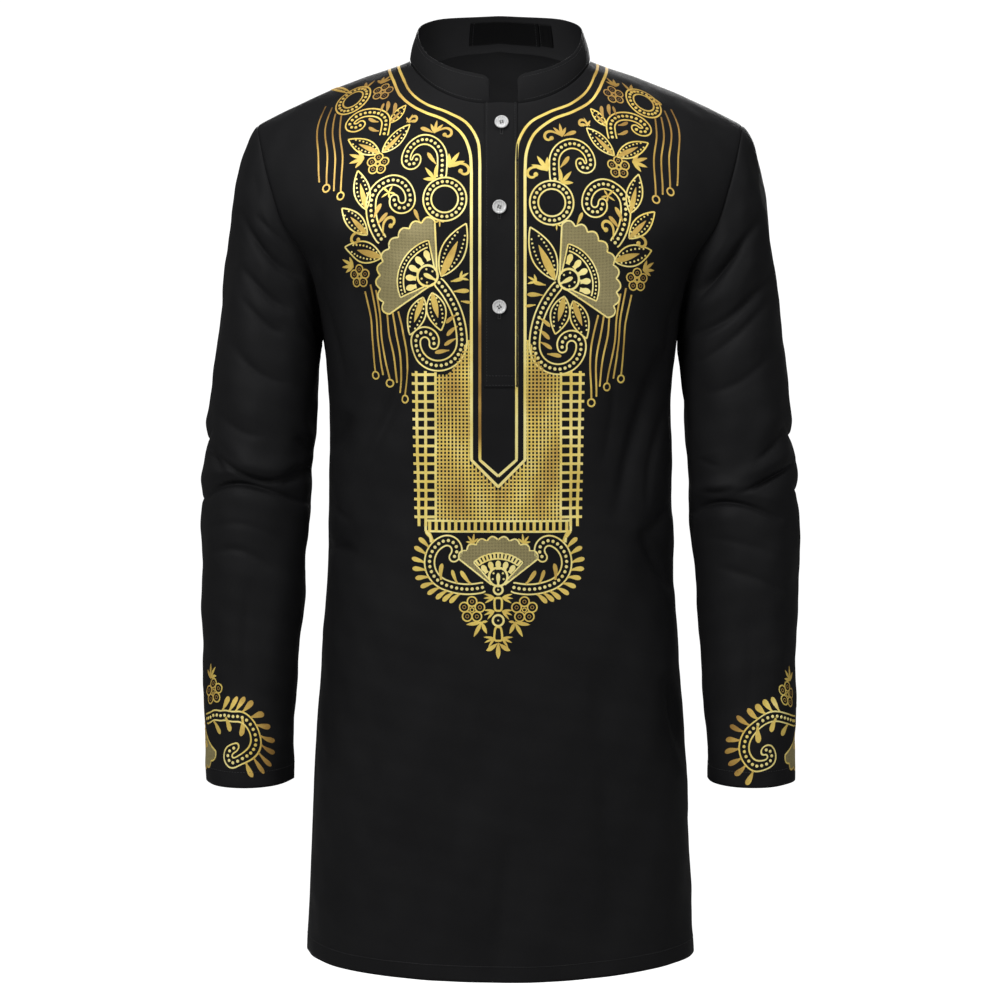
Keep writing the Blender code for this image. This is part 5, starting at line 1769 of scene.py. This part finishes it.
def middle_field(foil):
    """One half of the print's middle."""
    for neck, width, out, tip in (
        (NECK_OUTER, 2.6, 23.8, POINT_DROP), (NECK_INNER, 2.5, 16.3, POINT_DROP - 9.5),
    ):
        down = [(out, drop) for drop in np.arange(neck[-1][1] + 6, POINT_START, 6.0)]
        upper = soft_curve(foil.at(neck), 2.0)
        lower = foil.at(down + [(out, POINT_START), (out * 0.5, (POINT_START + tip) / 2), (0, tip)])
        path = resample(np.concatenate((upper, lower)), 2.4)
        tone = np.full(len(path), BRIGHT)
        # Painted shade: the inner neck line on the left is made darker over part of its run down beside the
        # placket.
        if foil.side < 0 and out < 20:
            painted_neck_shade = np.clip((path[:, 1] - 185) / 60, 0, 1) * np.clip((POINT_START - path[:, 1]) / 20, 0, 1)
            tone = BRIGHT - 0.62 * painted_neck_shade
        foil.line(path, width, tone)
    foot = foil.at((0, LATTICE_FOOT))[0, 1]
    for out in np.arange(LATTICE_OUT, -0.5, -LATTICE_PITCH):
        if out > 25.0:
            top = LATTICE_TOP - LATTICE_SHOULDER * np.clip((46 - out) / 18, 0, 1) ** 1.6
        else:
            top = POINT_DROP + 2.0 - (POINT_DROP - POINT_START) * out / 23.8
        ends = foil.at(((out, top), (out, top + 6)))
        ends[1] = (ends[1, 0], foot)
        path = resample(ends, 5.0)
        # Painted fold shade and light: the bars' tone swings darker and lighter along them.
        painted_fold_shade = 0.12 * np.sin(path[:, 1] / 17 + out / 6)
        foil.line(path, LATTICE_BAR, GOLD - 0.02 + painted_fold_shade)
    for drop in np.arange(LATTICE_TOP - LATTICE_SHOULDER, LATTICE_FOOT - 1, LATTICE_PITCH):
        outermost = BORDER_OUT
        if drop < LATTICE_TOP:
            outermost = 46 - 18 * ((LATTICE_TOP - drop) / LATTICE_SHOULDER) ** (1 / 1.6)
        innermost = 25.0
        if drop > POINT_START:
            innermost = max(0.0, 23.8 * (POINT_DROP + 3.0 - drop) / (POINT_DROP - POINT_START) + 1.2)
        path = resample(foil.at(((innermost, drop), (outermost, drop))), 5.0)
        # The cross bars carry the same painted fold shade and light.
        foil.line(path, LATTICE_BAR * 0.92, GOLD - 0.02 + 0.12 * np.sin(path[:, 0] / 9))
    bar(foil, (BORDER_OUT, LATTICE_TOP - 2), (BORDER_OUT, LATTICE_FOOT), 2.2, BRIGHT - 0.08)
    for out in RAIL_OUTS:
        lean = RAIL_LEAN if out > 70 else 0.0
        bar(foil, (out, LATTICE_TOP - 3), (out - lean, LATTICE_FOOT + 5), 2.6, GOLD + 0.10)
    for drop in np.arange(LATTICE_TOP, LATTICE_FOOT + 4, RAIL_PITCH):
        end = RAIL_OUTS[1] + RAIL_TICK - RAIL_LEAN * (drop - LATTICE_TOP) / (LATTICE_FOOT - LATTICE_TOP)
        start = BORDER_OUT if drop < LATTICE_FOOT - 3 else RAIL_OUTS[0]
        bar(foil, (start, drop), (end, drop), 2.4, GOLD + 0.12, 3)
    for drop in (LATTICE_FOOT, BAND_FOOT):
        bar(foil, (0, drop), (BAND_OUT, drop), 1.9, BRIGHT)
    for out in np.arange(CELL_PITCH / 2, BAND_OUT - 1, CELL_PITCH):
        bar(foil, (out, LATTICE_FOOT), (out, BAND_FOOT), 2.8, GOLD + 0.06, 3)
    bar(foil, (BAND_OUT, LATTICE_FOOT - 4), (BAND_OUT, BAND_FOOT), 2.2, BRIGHT, 3)
    foil.line(soft_curve(foil.at(((BAND_OUT, BAND_FOOT), (61.0, 430), (60.0, 436))), 2), 2.2, BRIGHT)


PENDANT_SCROLL = Scroll(12.5, 475.5, -16, 36.5, 38, 21.0, 135, 8.5, 160, 1)
PENDANT_COMMAS = table(
    "x drop turn length bend",
    (51, 469.5, 78, 15, 30), (36.5, 472.5, 58, 13, 20), (24.5, 473, 42, 15, 20),
)


def pendant(foil):
    """One half of the pendant: a fringed scroll, a flower and leaves, beside the fan's middle line."""
    line, outer, half = dotted_scroll(foil, PENDANT_SCROLL)
    comma_fringe(foil, PENDANT_SCROLL, line, outer, half, 0.20, 0.72, 11, 12.5, (42, 6))
    for row in PENDANT_COMMAS:
        base = foil.spot(row.x, row.drop)
        swelling(foil, base, row.turn, row.length, row.length * 0.26, row.bend, GOLD - 0.06, 2.0, 0.74, True)
    ring_flower(foil, foil.spot(23.4, 496), 7.4, 4.3)
    sprig(foil, foil.spot(14.8, 507), -62, 15, 3, 48)
    swelling(foil, foil.spot(14.8, 507), 172, 5.5, 2.4, 0, GOLD, 0.1, 0.5)
    sprig(foil, foil.spot(22.5, 436.5), 75, 8.5, 4, 58)
    for drop, turns in ((485, (25, 2, -24)), (497, (10, -16, -44)), (521.5, (12, -18, -50))):
        for turn in turns:
            swelling(foil, foil.spot(3.2, drop), turn, 10, 2.2, -10, GOLD, 0.1, 0.4)
    swelling(foil, foil.spot(0.8, 526), -46, 12.0, 4.0, 22, GOLD, 0.4, 0.62)


def pendant_middle(foil):
    """The pieces on the pendant's middle line."""
    hub = foil.spot(0, 478)
    fan(foil, hub, 38, 142, 44.5, 33.0, 8, 0.35, True)
    foil.ring(hub, 4.0, 1.9, BRIGHT, 18)
    foil.dot(hub, 0.9, 1.0)
    t = np.linspace(0, 2 * pi, 22, endpoint=False)
    for drop, top, foot, height in ((491, 3.5, 3.2, 5.8), (517.5, 2.7, 4.0, 6.2)):
        circle = np.stack((np.cos(t), np.sin(t)))
        squares = np.sign(circle) * abs(circle) ** 0.55
        width = (top + foot) / 2 + (foot - top) / 2 * squares[1]
        bud = np.stack((width * squares[0], height * squares[1]), axis=1)
        foil.line(bud + foil.spot(0, drop), 1.9, GOLD + 0.05, closed=True)
    ring = foil.spot(0, 505.5)
    foil.ring(ring, 4.9, 1.9, BRIGHT, 20)
    foil.dot(ring, 0.9, 1.0)
    swelling(foil, foil.spot(0, 525), -90, 15, 4.2, 0, GOLD, 0.1, 0.6)


CUFF_SCROLL = Scroll(18, -59.5, 12, 46.5, 34, 21.0, 158, 6.6, 185, -1)
CUFF_COMMAS = table(
    "x drop turn length bend", (34, -56, -48, 14, -22), (49, -58, -60, 14, -24), (66, -53, -82, 16, -34),
)


def cuff_field(foil):
    """One half of a wrist's print: a fringed scroll, a flower and leaves beside the sleeve's outer line."""
    line, outer, half = dotted_scroll(foil, CUFF_SCROLL)
    comma_fringe(foil, CUFF_SCROLL, line, outer, half, 0.22, 0.76, 11, 14.5, (26, 0))
    for row in CUFF_COMMAS:
        base = np.array((row.x, row.drop), float)
        swelling(foil, base, row.turn, row.length, 4.8, row.bend, GOLD, 2.2, 0.74, True)
    ring_flower(foil, np.array((35.0, -83.5)), 7.4, 4.3)
    sprig(foil, np.array((30.0, -97.0)), 62, 13, 4, 58)
    if foil.side > 0:
        hub = np.array((0.0, -60.0))
        fan(foil, hub, -136, -44, 46, 31, 7, 0.35, True)
        foil.ring(hub, 4.0, 1.8, BRIGHT, 18)
        sprig(foil, np.array((0.0, -64.0)), 90, 12, 3, 40)


gold = Finish("gold_foil", (0.75, 0.55, 0.18), 0.38, Metallic=0.35)
gold_place = gold.place()
gold_cloud = gold.noise(gold_place, 38.0, 3.0)
gold_speck = gold.noise(gold_place, 1400.0, 2.0)
gold_tone = gold.add("ShaderNodeAttribute", {"attribute_name": "tone"}, {}, output=2)
gold_pale = gold.add("ShaderNodeAttribute", {"attribute_name": "pale"}, {}, output=2)
gold_share = gold_tone + (gold_cloud - 0.5) * 0.60 + (gold_speck - 0.5) * 0.25
gold_colour = gold.add("ShaderNodeValToRGB", {"stops": (
    (0.0, (0.13, 0.065, 0.014)), (0.30, (0.36, 0.20, 0.040)), (0.55, (0.62, 0.41, 0.09)),
    (0.78, (0.86, 0.66, 0.15)), (1.0, (0.96, 0.84, 0.34)),
)}, {0: gold_share})
beige = gold.blend(gold_speck, (0.24, 0.20, 0.085), (0.44, 0.38, 0.18))
gold_mix = {0: gold_pale, 6: gold_colour, 7: beige}
gold.feed("Base Color", gold.add("ShaderNodeMix", {"data_type": "RGBA"}, gold_mix, output=2))
gold.feed("Roughness", gold_speck * 0.22 + 0.38)
gold.bump(gold_speck, 0.25, 0.0001)


def dot_tree():
    """A node tree that sets a low round spot of foil on each point, by its lean, size and tone."""
    grow = Grower("foil_dots", Height="Float", Sides="Int", Foil="Material")
    points = grow.add("GeometryNodeMeshToPoints", {}, {"Mesh": grow.given["Geometry"]})
    lean = grow.named("lean", "FLOAT_VECTOR")
    size = grow.named("size")
    upright = grow.add("FunctionNodeAlignRotationToVector", {"axis": "Z"}, {"Vector": lean})
    scale = grow.add("ShaderNodeCombineXYZ", {}, {0: size, 1: size, 2: grow.given["Height"]})
    shape = {"Vertices": grow.given["Sides"], "Radius Top": 0.80, "Radius Bottom": 1.0, "Depth": 1.0}
    spot = grow.add("GeometryNodeMeshCone", {}, shape)
    return grow.repeat(points, spot, upright, scale, "Foil", False)


foil_dots = dot_tree()
# Painted reflection and shade on the front's foil: how far up the shoulders and out to the sides it is made
# more bronze
PAINTED_SHADE_FROM = 90.0
PAINTED_SHADE_RUN = 70
PAINTED_SHADE_UP = 0.34
PAINTED_SHADE_ASIDE = 0.14
# Painted highlight on the wrists' foil at the front, with painted shade round the sleeve
WRIST_FRONT = 50
WRIST_PAINTED_HIGHLIGHT = 8
WRIST_RUN = 34
WRIST_PAINTED_SHADE = 0.42


def cuff_painted_highlight(tone, spots):
    """Painted highlight and shade: on the wrists the foil is made brightest on the side that faces forward
    and darker round the sleeve from there.
    """
    away = np.clip((abs(abs(spots[:, 0]) - WRIST_FRONT) - WRIST_PAINTED_HIGHLIGHT) / WRIST_RUN, 0, 1)
    return np.clip(tone - WRIST_PAINTED_SHADE * away, 0, 1)


def painted_reflection_tone(tone, spots):
    """Painted reflection and shade: the foil is made more bronze up the shoulders and out to the sides,
    standing in for where the light glances off.
    """
    height = np.clip((PAINTED_SHADE_FROM - spots[:, 1]) / PAINTED_SHADE_RUN, 0, 1)
    side = np.clip((abs(spots[:, 0]) - PAINTED_SHADE_FROM) / PAINTED_SHADE_RUN, 0, 1)
    return np.clip(tone - PAINTED_SHADE_UP * height - PAINTED_SHADE_ASIDE * side, 0, 1)


def over_placket(foil, r, c):
    """How much higher foil lies where it crosses the placket."""
    if foil.sheet is not front:
        return 0.0
    x, _, z = front.read(front.grid, r, c).T
    inside_edge = np.minimum(np.minimum(x + PLACKET_LEFT, PLACKET_RIGHT - x), PLACKET_END_DROP + z)
    return PLACKET_LIFT * np.sqrt(1 - np.clip(1 - inside_edge / PLACKET_EDGE, 0, 1) ** 2)


DOT_FOOT = 0.00004


def press(name, foils, painted_light=painted_reflection_tone):
    """Makes one piece of what some foils hold, their lines and their dots, with painted reflection and shade
    put on their tones.
    """
    points, tones, pales, faces, count = [], [], [], [], 0
    centres, leans, sizes, dot_tones = [], [], [], []
    for foil in foils:
        spots = np.concatenate(foil.spots)
        r, c = foil.to_sheet(spots)
        points.append(foil.sheet.lay(r, c, np.concatenate(foil.lifts) + over_placket(foil, r, c)))
        tones.append(painted_light(np.concatenate(foil.tones), spots))
        pales.append(np.concatenate(foil.pales))
        quads = np.concatenate(foil.faces)
        faces.append((quads[:, ::-1] if foil.side > 0 else quads) + count)
        count += len(spots)
        if foil.dots:
            rows = np.array(foil.dots)
            r, c = foil.to_sheet(rows[:, :2])
            centres.append(foil.sheet.lay(r, c, np.full(len(r), DOT_FOOT)))
            leans.append(foil.sheet.read(foil.sheet.normals, r, c))
            sizes.append(rows[:, 2] / 1000)
            dot_tones.append(painted_light(rows[:, 3], rows[:, :2]))
    mesh = bpy.data.meshes.new(name)
    mesh.from_pydata(np.concatenate(points).tolist(), [], np.concatenate(faces).tolist())
    give(mesh, "tone", "FLOAT", tones)
    give(mesh, "pale", "FLOAT", pales)
    mesh.materials.append(gold.material)
    seeds = bpy.data.meshes.new(name + "_dots")
    seeds.from_pydata(np.concatenate(centres).tolist(), [], [])
    give(seeds, "lean", "FLOAT_VECTOR", leans)
    give(seeds, "size", "FLOAT", sizes)
    give(seeds, "tone", "FLOAT", dot_tones)
    spots = run_tree(name + "_dots", foil_dots, seeds, {
        "Height": 2 * (FOIL_LIFT + 0.00006), "Sides": 8, "Foil": gold.material,
    })
    joined = bmesh.new()
    joined.from_mesh(mesh)
    joined.from_mesh(spots)
    joined.to_mesh(mesh)
    joined.free()
    show(name, mesh, "cloth")


RIGHT_FIELD_LOWER = 3.2


def front_foils(lower=0.0):
    """Foil for the two halves of the front, the right one lower where that is asked."""
    zero = ARMPIT_DROP * 1000
    return [Foil(front, PRINT_MIDDLE, side, lower if side > 0 else 0.0, True, zero) for side in (-1, 1)]


sides = front_foils(RIGHT_FIELD_LOWER)
for foil in sides:
    side_field(foil)
press("gold_side_fields", sides)
halves = front_foils()
for foil in halves:
    middle_field(foil)
halves[0].dot(halves[0].spot(0, POINT_DROP), 1.4, BRIGHT)
press("gold_neck_lines_and_lattice", halves)
hanging = front_foils()
for foil in hanging:
    pendant(foil)
pendant_middle(hanging[1])
press("gold_pendant", hanging)
for name in ("sleeve_left", "sleeve_right"):
    sheet = sheets[name]
    hem = float(sheet.down[-1, 0]) * 1000
    wrist = [Foil(sheet, 0.0, side, hem, False) for side in (1, -1)]
    for foil in wrist:
        cuff_field(foil)
    # The wrists' foil gets a painted highlight at the front and painted shade round the sleeve.
    press("gold_" + name + "_wrist", wrist, cuff_painted_highlight)
